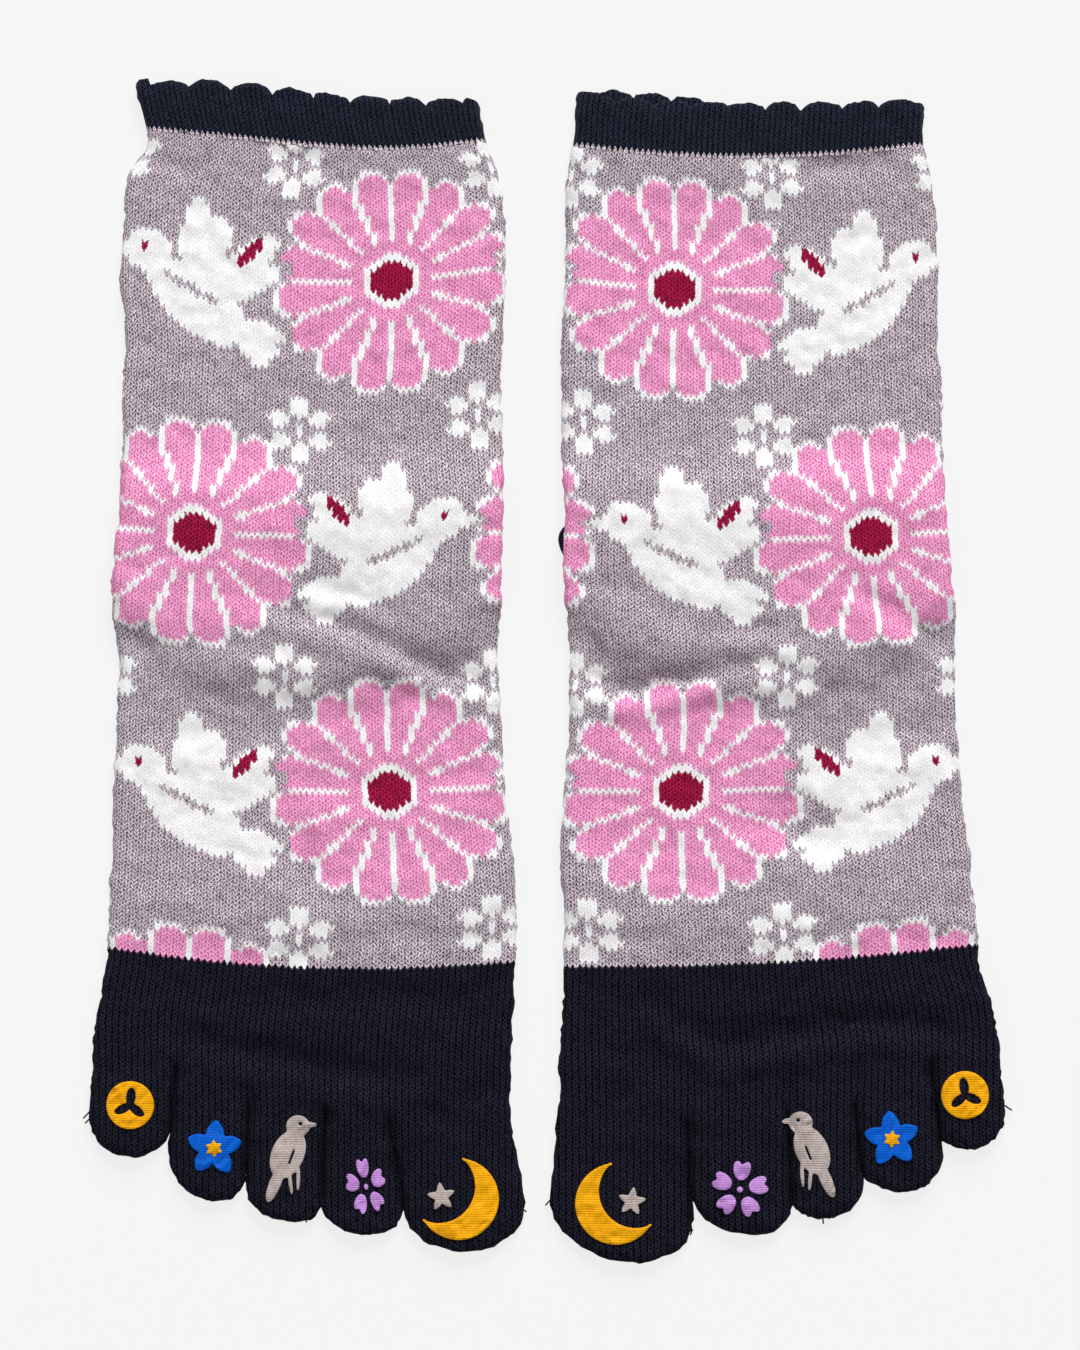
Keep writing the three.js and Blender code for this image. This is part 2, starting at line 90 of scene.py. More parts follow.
# %% Sizes of the cloth
WALL = 1.0  # one layer of jacquard
WELT = 2.0  # the cuff's double layer
BODY_HEIGHT = 4.2
CUFF_HEIGHT = 5.5
CUFF_RISE = 0.9  # how far the cloth climbs to the thicker cuff, over CUFF_SLOPE
CUFF_SLOPE = 13
TOE_HEIGHT = 4.7
EDGE_RADIUS = 2.2  # plan width of the rounded fold along each side
TOE_RADIUS = 2.3
CROWN_DROP = 0.08
TOE_CROWN_DROP = 0.32
SLIT_GAP = -0.9  # neighbouring toes press together by this much
FOLD_STRENGTH = 1.2
HEEL_THICKNESS = 2.9
HEEL_LIFT = 3.2
HEEL_CORNER = 5.5
HEEL_TIP = 1.8
SCALLOP_DEPTH = 1.9

FRONT_WALES = 65  # columns of stitches from fold to fold
BODY_COURSES = 194  # rows of stitches from the cuff to where the navy toes begin
WALE = 1.43
COURSE = 1.05
print("knitting", 2 * FRONT_WALES, "wales round,", BODY_COURSES, "courses above the toe line")

# %% [markdown]
# ## The outline of each sock
#
# The tables say where the side folds run, how the knitted rows bend, where the slits between
# the toes start and end, and which soft folds lie in the cloth. They use millimetres from the
# middle of the pair, with y growing towards the cuffs.

# %% Tables for the left sock
LEFT_SOCK = {
    "name": "left",
    "cuff_top": 145.2,
    "cuff_base": 131.2,
    "toe_line": -74.7,
    "mirrored": False,
    # y, left fold, right fold
    "edges": (
        (147, -102.8, -17.3),
        (140.7, -101.5, -17.0),
        (132.5, -100.0, -15.2),
        (124.7, -104.4, -12.3),
        (114, -105.7, -10.8),
        (96.7, -106.7, -10.5),
        (84, -105.6, -11.0),
        (71.5, -106.1, -11.8),
        (55.2, -106.5, -11.0),
        (40.7, -107.0, -10.9),
        (27.7, -108.2, -11.2),
        (15.2, -108.7, -11.6),
        (4, -107.2, -12.4),
        (-9.7, -107.7, -11.6),
        (-27.2, -108.1, -10.7),
        (-47.2, -109.0, -8.5),
        (-64.7, -110.0, -7.5),
        (-84.7, -111.2, -8.4),
        (-99.7, -113.5, -9.0),
        (-114.2, -114.6, -8.8),
    ),
    # y, how far the row tilts, bows and sways from side to side
    "rows": (
        (145.2, -1.9, 0.6, -1.1),
        (131.2, -1.4, 2.9, -0.7),
        (30, -0.5, 1.6, 0),
        (-74.7, -1.8, 3.4, 0),
    ),
    # root x and y, x at the shoulder, and where the toe before and after the slit rounds off
    "slits": (
        (-113.5, -99.7, -114.7, None, -110.5),
        (-92.9, -100.5, -94.4, -111, -119.7),
        (-74.7, -110.7, -75.3, -125.2, -127.2),
        (-55.5, -111.3, -56.4, -130.2, -131.2),
        (-39.4, -114.3, -35.9, -133.2, -132.7),
        (-8.8, -114.2, -5.5, -133, None),
    ),
    # x and y of each toe's tip
    "tips": ((-103.5, -121.6), (-82, -132.5), (-62.5, -137.9), (-45, -141), (-20.2, -145.2)),
    # the heel pouch: middle, height of its corners, half its height, overhang left and right
    "heel": (22, 32, 14, -0.6, -0.6),
    # the soft folds: width, then x, y and rise of each place along the fold
    "folds": (
        (10.0, (-100, 38, 0.3), (-66, 37, 0.5), (-16, 40, 0.4)),
        (8.0, (-100, -59, 0.7), (-60, -62, 0.6), (-16, -60, 0.8)),
        (3.0, (-97, 127, -0.5), (-88, 126, -0.4)),
        (4.0, (-72, 128, -0.4), (-63, 127.5, -0.9), (-52, 127, -0.3)),
        (2.6, (-103, 7, -0.5), (-88, 6, -0.9), (-68, 5, -0.4)),
        (2.4, (-76, 18, -0.2), (-66, 15.5, -1.0), (-51.7, 11.5, -1.6), (-36.7, 5.2, -2.1),
         (-26.7, -0.2, -1.9), (-12, -4.8, -1.1)),
        (2.2, (-62, 21.6, -0.4), (-50, 19.3, -1.0), (-39, 15, -0.5)),
        (3.6, (-98, -14, -0.3), (-76, -17, -0.5), (-62, -13, -0.2)),
        (3.6, (-60, -29, -0.5), (-48, -30, -0.4)),
        (4.2, (-62.5, -45, -0.6), (-60.5, -50, -1.1), (-57, -55, -0.5)),
        (3.4, (-42, -64, -0.5), (-32, -67, -0.6)),
        (4.0, (-50, -30, -0.2), (-22, -26, -0.4)),
        (3.0, (-99, -90, -0.4), (-81.7, -94, -1.2), (-64.2, -97, -1.6), (-51.7, -101, -1.6),
         (-34, -102.4, -0.8)),
        (3.4, (-98, -81, -0.3), (-70, -84, -0.7), (-40, -82, -0.5), (-16, -86, -0.3)),
        (2.4, (-31, -110, -0.8), (-24, -113, -0.6)),
        (2.4, (-19, -107, -0.5), (-12.5, -103, -0.8)),
    ),
    # the same for the underside, where cloth arches off the table
    "under_folds": (
        (3.0, (-96, 72, 0.4), (-70, 67, 0.9), (-42, 69, 0.5)),
        (3.4, (-84, -26, 0.4), (-58, -31, 1.0), (-30, -24, 0.6)),
        (2.8, (-98, -62, 0.3), (-66, -68, 0.8), (-44, -66, 0.4)),
        (3.2, (-72, 102, 0.3), (-46, 97, 0.8), (-22, 100, 0.4)),
        (2.8, (-70, -92, 0.4), (-42, -96, 0.8), (-22, -92, 0.4)),
    ),
    # the x of each notch along the front of the cuff
    "notches": (-99.3, -89.7, -79, -68.5, -58.2, -49, -39, -30, -20.7),
    # how far the back rim stands above the front one at the left and right, and its shift
    "back_rise": (-0.6, -0.6),
    "back_shift": 0.0,
    "ear": 1.5,
}

# %% Tables for the right sock
RIGHT_SOCK = {
    "name": "right",
    "cuff_top": 142.2,
    "cuff_base": 128.4,
    "toe_line": -73.4,
    "mirrored": True,
    "edges": (
        (144, 7.6, 94.5),
        (139, 7.0, 94.4),
        (131.5, 6.6, 94.0),
        (124.7, 5.0, 96.0),
        (114, 4.5, 97.5),
        (96.7, 4.3, 97.6),
        (82.7, 3.6, 97.9),
        (67.7, 3.3, 98.7),
        (52.7, 3.8, 99.1),
        (37.7, 4.5, 100.0),
        (27.7, 3.9, 100.8),
        (15.2, 4.8, 102.0),
        (1.5, 5.7, 102.0),
        (-12.2, 5.6, 102.4),
        (-27.2, 4.3, 103.6),
        (-47.2, 3.5, 105.8),
        (-63.5, 4.1, 107.4),
        (-84.7, 4.1, 109.6),
        (-99.7, 3.5, 113.2),
        (-110, 3.0, 114.6),
    ),
    "rows": (
        (142.2, -0.6, 2.0, 0),
        (128.4, 0.1, 3.1, 0),
        (30, 0.5, 1.6, 0),
        (-73.4, 2.8, 1.8, 0),
    ),
    "slits": (
        (3.0, -110, 0.6, None, -131.5),
        (35.2, -114.7, 36.1, -137.7, -127.2),
        (60, -111.5, 61.5, -132.2, -133.2),
        (77, -109.7, 78.9, -126, -125.2),
        (96.2, -99.9, 98.7, -119.7, -116.7),
        (113.2, -99.7, 114.8, -109.2, None),
    ),
    "tips": ((23.7, -147.75), (52.5, -141), (69, -137), (88.7, -130.2), (104.7, -119.5)),
    "heel": (22, 33, 14, 1.4, -0.6),
    "folds": (
        (10.0, (12, 40, 0.4), (54, 37, 0.5), (92, 39, 0.3)),
        (8.0, (12, -60, 0.8), (54, -62, 0.6), (96, -58, 0.7)),
        (4.0, (55, 127.5, -0.5), (68, 127, -1.1), (82, 126.5, -0.6)),
        (4.6, (38, 106, -0.4), (50, 105, -0.4)),
        (2.4, (7, -1, -0.9), (20.7, -4.9, -2.1), (35.7, -1.7, -1.9), (48.2, 1.5, -1.2),
         (60.7, 0.2, -0.8), (72, -5.2, -0.4)),
        (2.2, (40, 9.6, -0.4), (53, 10.4, -1.0), (63, 9.6, -0.4)),
        (2.8, (74, 23, -0.4), (85.7, 14.2, -1.3), (102, 5.7, -1.3)),
        (2.6, (8, 24, -0.3), (24, 18, -0.6), (34, 13, -0.2)),
        (3.6, (72, -20, -0.3), (96, -15, -0.5)),
        (4.2, (50, -38, -0.4), (60, -39.5, -1.6), (69, -43, -1.0)),
        (3.0, (66.5, -50, -0.6), (66, -69, -0.5)),
        (3.8, (14, -40, -0.3), (30, -47, -0.5), (38, -58, -0.2)),
        (2.7, (26, -83, -0.6), (34, -88, -1.4), (43.2, -94.2, -1.7), (63.2, -91, -1.8),
         (78.2, -87.7, -1.7), (93.2, -89, -1.5), (107, -92, -0.6)),
        (3.2, (10, -92, -0.4), (24, -97, -0.8), (38, -104, -0.6)),
        (4.6, (8, -107, -0.4), (22, -106, -0.6)),
    ),
    "under_folds": (
        (3.2, (18, 66, 0.4), (44, 70, 1.0), (76, 64, 0.5)),
        (3.0, (22, -22, 0.5), (50, -30, 0.9), (82, -27, 0.4)),
        (3.4, (34, -64, 0.4), (60, -69, 0.8), (94, -62, 0.4)),
        (2.8, (14, 98, 0.3), (38, 103, 0.7), (62, 99, 0.4)),
        (3.0, (16, -90, 0.4), (44, -97, 0.8), (70, -94, 0.4)),
    ),
    "notches": (16.7, 26.2, 35.7, 45.2, 54.5, 63.5, 74, 83.2),
    "back_rise": (1.7, -1.8),
    "back_shift": 4.4,
    "ear": 0.4,
}
SOCKS = (LEFT_SOCK, RIGHT_SOCK)
print("soft folds on the fronts", [len(sock["folds"]) for sock in SOCKS])

# %% [markdown]
# ## Smooth curves from short tables
#
# A cloth edge has no corners. A cubic curve through the rows of a table gives its whole length
# from about twenty measured places, and it bends no more than it must between them.

# %% Curves and easing


def smooth(t):
    """Ease from 0 to 1 with a level start and end."""
    t = np.clip(t, 0, 1)
    return t * t * (3 - 2 * t)


def mix(a, b, t):
    return a + (b - a) * t


def curve_through(rows, column):
    """A smooth curve through a table: column 0 is the place, the given column the value."""
    table = np.array(sorted([(float(row[0]), float(row[column])) for row in rows]))
    at, value = table[:, 0], table[:, 1]
    slope = np.gradient(value, at)

    def curve(x):
        x = np.clip(x, at[0], at[-1])
        i = np.clip(np.searchsorted(at, x) - 1, 0, len(at) - 2)
        span = at[i + 1] - at[i]
        t = (x - at[i]) / span
        bend = t * (1 - t) * span * ((1 - t) * slope[i] - t * slope[i + 1])
        return mix(value[i], value[i + 1], t * t * (3 - 2 * t)) + bend

    return curve


# %% [markdown]
# ## Height of the cloth
#
# Seen from the side, a laid sock is about four millimetres high. It rises over the heel pouch,
# which lies folded flat beneath, and soft creases run across it where the ankle wants to bend.
# Each crease is a shallow trough with a low lip beside it, because cloth that is pushed down in
# one place comes up in the next.

# %% The shape of one sock
# where the cloth starts to come down beside the heel pouch, and over how far
ABOVE_HEEL = (-2.5, 3.5)
BELOW_HEEL = (1.5, 9.0)
FRONT_OF_HEEL = (1, 14)
FRONT_LIFT = 0.92  # how much of the heel's lift reaches the front
# the folds die away beside the side folds (in shares of the half width), cuff and heel (in mm)
FADE_SIDE = 0.12
FADE_CUFF = 3
FADE_HEEL = 6
# the soft valley above each slit between two toes: its width, then the y and rise of its ends
VALLEY_WIDTH = 1.8
VALLEY_ENDS = ((-2, -1.8), (11, -0.4))
# in shares of a fold's width: reach of its steep and gentle side, distance and width of its lip
STEEP = 0.85
GENTLE = 1.6
LIP_AWAY = 2.1
LIP_WIDTH = 1.1
LIP_RISE = 0.45  # in shares of the fold's depth


class Shape:
    """The outline and height functions of one sock, in millimetres."""

    def __init__(self, sock):
        self.sock = sock
        self.left = curve_through(sock["edges"], 1)
        self.right = curve_through(sock["edges"], 2)
        self.tilt, self.bow, self.sway = (curve_through(sock["rows"], i) for i in (1, 2, 3))
        self.root_y = curve_through(sock["slits"], 1)
        valleys = [
            (VALLEY_WIDTH, *((x, y + step, rise) for step, rise in VALLEY_ENDS))
            for x, y, *_ in sock["slits"][1:-1]
        ]
        self.folds = [*sock["folds"], *valleys]

    def share(self, x, y):
        """-1 at the left fold, 1 at the right fold."""
        return 2 * (x - self.left(y)) / (self.right(y) - self.left(y)) - 1

    def row_y(self, v, s):
        """Height of the knitted row v at share s."""
        return v + self.tilt(v) * s + self.bow(v) * s * s + self.sway(v) * np.sin(np.pi * s)

    def beyond_heel(self, x, y):
        """How far a point lies from the heel pouch, and on which side of it."""
        middle, corner, half, _, _ = self.sock["heel"]
        s = np.clip(self.share(x, y), -1, 1)
        offset = y - mix(middle, corner, s * s)
        return np.abs(offset) - HEEL_CORNER - half * np.sqrt(1 - s * s), offset > 0

    def under(self, x, y):
        """The underside: on the table, and over the heel pouch."""
        beyond, above = self.beyond_heel(x, y)
        start, fade = (np.where(above, *pair) for pair in zip(ABOVE_HEEL, BELOW_HEEL))
        lift = HEEL_LIFT * (1 - smooth((beyond - start) / fade))
        s = self.share(x, y)
        folds = sum(fold_height(fold, x, y) for fold in self.sock["under_folds"])
        folds = folds * smooth((1 - np.abs(s)) / FADE_SIDE) * smooth(beyond / FADE_HEEL)
        return lift + np.maximum(folds, 0)

    def top(self, x, y):
        """The front of the cloth, with the lift over the heel and the soft folds."""
        s = self.share(x, y)
        beyond, _ = self.beyond_heel(x, y)
        start, fade = FRONT_OF_HEEL
        lift = HEEL_LIFT * FRONT_LIFT * (1 - smooth((beyond - start) / fade))
        folds = FOLD_STRENGTH * sum(fold_height(fold, x, y) for fold in self.folds)
        below_cuff = self.row_y(self.sock["cuff_base"], s) - y
        fade = smooth((1 - np.abs(s)) / FADE_SIDE) * smooth(below_cuff / FADE_CUFF)
        rise = CUFF_RISE * (1 - smooth(below_cuff / CUFF_SLOPE))
        return (BODY_HEIGHT + rise) * (1 - CROWN_DROP * s * s) + lift + folds * fade


def fold_height(fold, x, y):
    """A soft trough along a line of places: gentle above, steep below, with a lip under it."""
    width, *places = fold
    height, nearest = 0 * x, np.inf + 0 * x
    for (from_x, from_y, from_rise), (to_x, to_y, to_rise) in zip(places, places[1:]):
        run_x, run_y = to_x - from_x, to_y - from_y
        along = ((x - from_x) * run_x + (y - from_y) * run_y) / (run_x**2 + run_y**2)
        along = np.clip(along, 0, 1)
        off_x, off_y = x - mix(from_x, to_x, along), y - mix(from_y, to_y, along)
        away = np.hypot(off_x, off_y)
        above = 0.5 + 0.5 * off_y / np.maximum(away, 1e-6)
        trough = np.exp(-((away / (width * mix(STEEP, GENTLE, above))) ** 2))
        lip = np.exp(-(((away - LIP_AWAY * width) / (LIP_WIDTH * width)) ** 2))
        here = mix(from_rise, to_rise, along) * (trough - LIP_RISE * (1 - above) * lip)
        height = np.where(away < nearest, here, height)
        nearest = np.minimum(away, nearest)
    return height


# %% [markdown]
# ## From rows of points to a sock
#
# A knitted tube is a grid: stitches run round it in courses and along it in wales. The mesh is
# built on the same grid, one half for the front and one for the back, so that each corner of
# the mesh also knows its place in the knitting. That place, counted in stitches, is kept as the
# UV map. Loft code is used here instead of hand extrusion, because the wales have to follow the
# cloth exactly for the pattern to sit right.

# %% Build a mesh from grids of points
FOLD_STEPS = 3
WELD = 0.002 * MM


def half_ring(spots, partner, left_reach, right_reach):
    """Add the rounded folds to both ends of a row of spots: a quarter turn on each side."""
    angles = np.linspace(0, np.pi / 2, FOLD_STEPS + 1)[:, None]

    def quarter(spot, other, reach):
        centre = (spot + other) / 2
        return centre + (spot - centre) * np.sin(angles) + reach * np.cos(angles)

    left = quarter(spots[0], partner[0], left_reach)
    right = quarter(spots[-1], partner[-1], right_reach)
    return np.concatenate([left[:-1], spots, right[::-1][1:]])


class ClothGrid:
    """Collects grids of points, with their place in the knitting, and makes one mesh."""

    def __init__(self):
        self.points, self.stitches, self.quads = [], [], []

    def add(self, points, stitches, flip=False):
        """points: rows x columns x 3 in millimetres. stitches: rows x columns x 2."""
        rows, columns, _ = points.shape
        start = sum(len(part) for part in self.points)
        self.points.append(points.reshape(-1, 3))
        self.stitches.append(stitches.reshape(-1, 2))
        index = start + np.arange(rows * columns).reshape(rows, columns)
        quads = np.stack([index[:-1, :-1], index[1:, :-1], index[1:, 1:], index[:-1, 1:]], axis=-1)
        quads = quads.reshape(-1, 4)
        self.quads.append(quads[:, ::-1] if flip else quads)

    def build(self, name):
        """One mesh object, welded where grids meet, with a UV map counted in stitches."""
        points = np.concatenate(self.points) * MM
        stitches = np.concatenate(self.stitches)
        quads = np.concatenate(self.quads)
        mesh = bpy.data.meshes.new(name)
        mesh.from_pydata(points.tolist(), [], quads.tolist())
        layer = mesh.uv_layers.new(name="stitches")
        layer.data.foreach_set("uv", stitches[quads.reshape(-1)].astype(np.float32).reshape(-1))
        thing = bpy.data.objects.new(name, mesh)
        bpy.context.scene.collection.objects.link(thing)
        select_only(thing)
        bpy.ops.object.mode_set(mode="EDIT")
        bpy.ops.mesh.select_all(action="SELECT")
        bpy.ops.mesh.remove_doubles(threshold=WELD)
        bpy.ops.mesh.dissolve_degenerate(threshold=WELD)
        bpy.ops.object.mode_set(mode="OBJECT")
        return thing


def select_only(*things):
    """Operators act on all that is selected, so everything else is deselected first."""
    bpy.ops.object.select_all(action="DESELECT")
    for thing in things:
        thing.select_set(True)
    bpy.context.view_layer.objects.active = things[-1]


def apply_modifier(thing, kind, **settings):
    """Add a modifier, set it up and apply it."""
    select_only(thing)
    modifier = thing.modifiers.new(kind.lower(), kind)
    for key, value in settings.items():
        setattr(modifier, key, value)
    bpy.ops.object.modifier_apply(modifier=modifier.name)


def smooth_faces(thing, degrees=50):
    select_only(thing)
    bpy.ops.object.shade_smooth_by_angle(angle=math.radians(degrees))


# %% [markdown]
# ## The tube: leg, foot, forefoot and toes
#
# The rows run from the cuff down to the toe roots. There the last row splits: each toe takes
# the stretch between two slits, front and back, and goes on as a small tube of its own until
# it closes at the tip. Neighbouring toes share one upright line of points at the slit, so the
# cloth has no hole there. A Solidify modifier then gives the whole sock its thickness.

# %% Columns and rows
COLUMN_SPACING = 1.35
ROW_SPACING = 1.3
FOREFOOT_ROWS = 26
TOE_STRAIGHT = (0, 0.03, 0.06, 0.1, 0.15, 0.2, 0.26, 0.32, 0.38, 0.44, 0.5)
TOE_ROUND_STEPS = 14
# how far the cloth stands in or out of its smooth form, and the size of each bump
FUZZ = (0.4 * MM, 1.3 * MM)
WOBBLE = (0.5 * MM, 5 * MM)


def front_columns(sock):
    """The x of each column at the toe roots, and the index of the column at each slit."""
    xs = [row[0] for row in sock["slits"]]
    xs[0] += EDGE_RADIUS
    xs[-1] -= EDGE_RADIUS
    columns, at_slit = [xs[0]], [0]
    for start, end in zip(xs, xs[1:]):
        steps = round((end - start) / COLUMN_SPACING)
        columns.extend(np.linspace(start, end, steps + 1)[1:])
        at_slit.append(len(columns) - 1)
    return np.array(columns), at_slit


def in_3d(x, y, z):
    return np.stack(np.broadcast_arrays(x, y, z), axis=-1)


def arc_stitches(ring):
    """Columns of stitches along a half ring, evenly over its real length."""
    steps = np.linalg.norm(np.diff(ring, axis=0), axis=1)
    length = np.concatenate([[0], np.cumsum(steps)])
    return FRONT_WALES * length / length[-1]


# %% Leg, foot and forefoot


def body_rows(sock, shape):
    """The front and back spots of each row, and how many courses each spot is below the cuff."""
    columns, at_slit = front_columns(sock)
    along = (columns - columns[0]) / (columns[-1] - columns[0])
    rows = []
    base, toe_line = sock["cuff_base"], sock["toe_line"]
    for t in np.linspace(0, 1, round((base - toe_line) / ROW_SPACING) + 1):
        v = mix(base, toe_line, t)
        left_x, right_x = shape.left(shape.row_y(v, -1)), shape.right(shape.row_y(v, 1))
        x = left_x + EDGE_RADIUS + along * (right_x - left_x - 2 * EDGE_RADIUS)
        y = shape.row_y(v, 2 * (x - left_x) / (right_x - left_x) - 1)
        rows.append((x, y, np.full_like(x, t * BODY_COURSES), 0.0))
    start_y = rows[-1][1]
    root_y = shape.root_y(columns)
    for t in np.linspace(0, 1, FOREFOOT_ROWS + 1)[1:]:
        y = mix(start_y, root_y, t)
        left_x, right_x = shape.left(y), shape.right(y)
        on_edges = left_x + EDGE_RADIUS + along * (right_x - left_x - 2 * EDGE_RADIUS)
        x = mix(on_edges, columns, smooth(t))
        rows.append((x, y, BODY_COURSES + (start_y - y) / COURSE, float(smooth(t))))
    return rows, columns, at_slit, start_y


def forefoot_wales(sock, x):
    """Stitch columns where the forefoot lies flat: evenly across its width."""
    left, right = sock["slits"][0][0], sock["slits"][-1][0]
    return FRONT_WALES * (x - left) / (right - left)


def stitch_grid(sock, wales, courses, back):
    """Turn front wales into wales of the back, or of the mirrored sock."""
    if back:
        wales = 2 * FRONT_WALES - wales
    if sock["mirrored"]:
        wales = FRONT_WALES - wales
    return np.stack(np.broadcast_arrays(wales, courses), axis=-1)


def add_body(cloth, sock, shape):
    """Add the rows from the cuff to the toe roots, and return the last row for the toes."""
    rows, columns, at_slit, start_y = body_rows(sock, shape)
    reach = np.array([EDGE_RADIUS, 0, 0])
    grids = {False: ([], []), True: ([], [])}
    for x, y, courses, planar in rows:
        front = in_3d(x, y, shape.top(x, y))
        back = in_3d(x, y, shape.under(x, y))
        for is_back, spots, partner in ((False, front, back), (True, back, front)):
            ring = half_ring(spots, partner, -reach, reach)
            ring_courses = np.pad(courses, FOLD_STEPS, mode="edge")
            wales = mix(arc_stitches(ring), forefoot_wales(sock, ring[:, 0]), planar)
            grids[is_back][0].append(ring)
            grids[is_back][1].append(stitch_grid(sock, wales, ring_courses, is_back))
    for is_back, (points, stitches) in grids.items():
        cloth.add(np.array(points), np.array(stitches), flip=is_back)
    return front, back, columns, at_slit, start_y


# %% Toes
TOE_ROUND = tuple(0.5 + 0.5 * k / TOE_ROUND_STEPS for k in range(1, TOE_ROUND_STEPS + 1))
SLIT_OPENS = 12  # a slit is at its full gap after 1 / 12 of the toe
TIP_BLUNTNESS = 0.9  # 1 makes a tip half of an ellipse, less makes it blunter
FOLDS_OPEN = 0.2  # the side folds of a toe are full from here on
WIDEST_FOLD = 0.45  # in shares of the toe's width
FOOT_ENDS = 3  # a toe has its own height after 1 / 3 of its length
CLOSING_FROM = 0.7  # front and back close over the rest of the toe
CLOSING_LENGTH = 0.3
CLOSING_POWER = 2.2
BACK_POWER = 0.7  # the back closes later than the front
CLOSING_HEIGHT = 2.2


def toe_side(slit, shoulder, tip, shift, q):
    """A toe's side from the root (q 0) past the shoulder (q 0.5) to the tip (q 1)."""
    root_x, root_y, side_x, before, after = slit
    deepest = min(y for y in (before, after) if y is not None)
    shoulder_x = mix(root_x, side_x, (root_y - shoulder) / (root_y - deepest)) + shift
    if q <= 0.5:
        opened = float(smooth(SLIT_OPENS * q))
        x = mix(root_x, shoulder_x - shift, 2 * q) + shift * opened
        return x, mix(root_y, shoulder, 2 * q)
    angle = math.pi * (q - 0.5)
    x = mix(tip[0], shoulder_x, math.cos(angle) ** TIP_BLUNTNESS)
    return x, mix(shoulder, tip[1], math.sin(angle))


def fold_reach(width, q, is_outer):
    """Plan width of the rounded fold at one side of a toe. It grows from nothing in a slit."""
    opened = float(smooth(q / FOLDS_OPEN))
    widest = WIDEST_FOLD * width
    full = min(TOE_RADIUS, widest)
    return min(mix(EDGE_RADIUS, full, opened) if is_outer else full * opened, widest)


def toe_heights(shape, x, y, level, q):
    """Front and back heights of a row of the toe, from the foot's own to the closed tip."""
    closed = max(0.0, (q - CLOSING_FROM) / CLOSING_LENGTH) ** CLOSING_POWER
    low = math.sqrt(max(0.0, 1 - closed))
    own = TOE_HEIGHT * (1 - TOE_CROWN_DROP * (2 * level - 1) ** 2)
    front = mix(shape.top(x, y), own, float(smooth(FOOT_ENDS * q)))
    back = shape.under(x, y)
    front = CLOSING_HEIGHT + (front - CLOSING_HEIGHT) * low
    back = CLOSING_HEIGHT + (back - CLOSING_HEIGHT) * low**BACK_POWER
    return front, back


def add_toe(cloth, sock, shape, index, front, back, columns, at_slit, start_y):
    """One toe pocket, from the row where the slits start to its closed tip."""
    before, after = sock["slits"][index:index + 2]
    tip = sock["tips"][index]
    first, last = at_slit[index], at_slit[index + 1]
    across = (columns[first:last + 1] - columns[first]) / (columns[last] - columns[first])
    is_first, is_last = index == 0, index == len(sock["tips"]) - 1
    root_front, root_back = front[first:last + 1], back[first:last + 1]
    root_bend = root_front[:, 1] - mix(root_front[0, 1], root_front[-1, 1], across)
    grids = {False: ([], []), True: ([], [])}
    for q in TOE_STRAIGHT + TOE_ROUND:
        left_x, left_y = toe_side(before, before[4], tip, 0 if is_first else SLIT_GAP / 2, q)
        right_x, right_y = toe_side(after, after[3], tip, 0 if is_last else -SLIT_GAP / 2, q)
        width = right_x - left_x
        left_r, right_r = fold_reach(width, q, is_first), fold_reach(width, q, is_last)
        x = mix(left_x + left_r, right_x - right_r, across)
        level = (x - left_x) / width if width > 1e-6 else across
        y = mix(left_y, right_y, level) + root_bend * (1 - float(smooth(FOOT_ENDS * q)))
        spots = [in_3d(x, y, z) for z in toe_heights(shape, x, y, level, q)]
        if q == 0:
            spots = [root_front, root_back]
        left_reach, right_reach = np.array([-left_r, 0, 0]), np.array([right_r, 0, 0])
        for is_back in (False, True):
            ring = half_ring(spots[is_back], spots[not is_back], left_reach, right_reach)
            start = np.interp(ring[:, 0], columns, start_y)
            courses = BODY_COURSES + (start - ring[:, 1]) / COURSE
            wales = forefoot_wales(sock, ring[:, 0])
            grids[is_back][0].append(ring)
            grids[is_back][1].append(stitch_grid(sock, wales, courses, is_back))
    for is_back, (points, stitches) in grids.items():
        cloth.add(np.array(points), np.array(stitches), flip=is_back)


# %% Make both tubes
# a map of the painted shade in the slits goes with each tube as the attribute "seam"
SLIT_SHADE_WIDTH = 0.9
SLIT_SHADE_START = 2  # how far above a slit's root the shade begins


def painted_slit_shade(sock, places):
    """How near each place lies to a slit between two toes, where little light gets in, as painted shade from
    0 to 1.
    """
    shade = np.zeros(len(places))
    for root_x, root_y, side_x, before, after in sock["slits"][1:-1]:
        start = np.array([root_x, root_y + SLIT_SHADE_START])
        run = np.array([side_x, min(before, after)]) - start
        along = np.clip((places - start) @ run / (run @ run), 0, 1)
        away = np.linalg.norm(places - start - along[:, None] * run, axis=1)
        shade = np.maximum(shade, np.exp(-((away / SLIT_SHADE_WIDTH) ** 2)))
    return shade


def roughen(thing):
    """Push points in and out by cloudy textures, so that no edge is ruled, and none below 0."""
    for strength, size in (FUZZ, WOBBLE):
        clouds = bpy.data.textures.new("stitch_clouds", "CLOUDS")
        clouds.noise_scale = size
        clouds.contrast = 3
        apply_modifier(thing, "DISPLACE", texture=clouds, strength=strength, mid_level=0.5)
    for vertex in thing.data.vertices:
        vertex.co.z = max(vertex.co.z, 0)


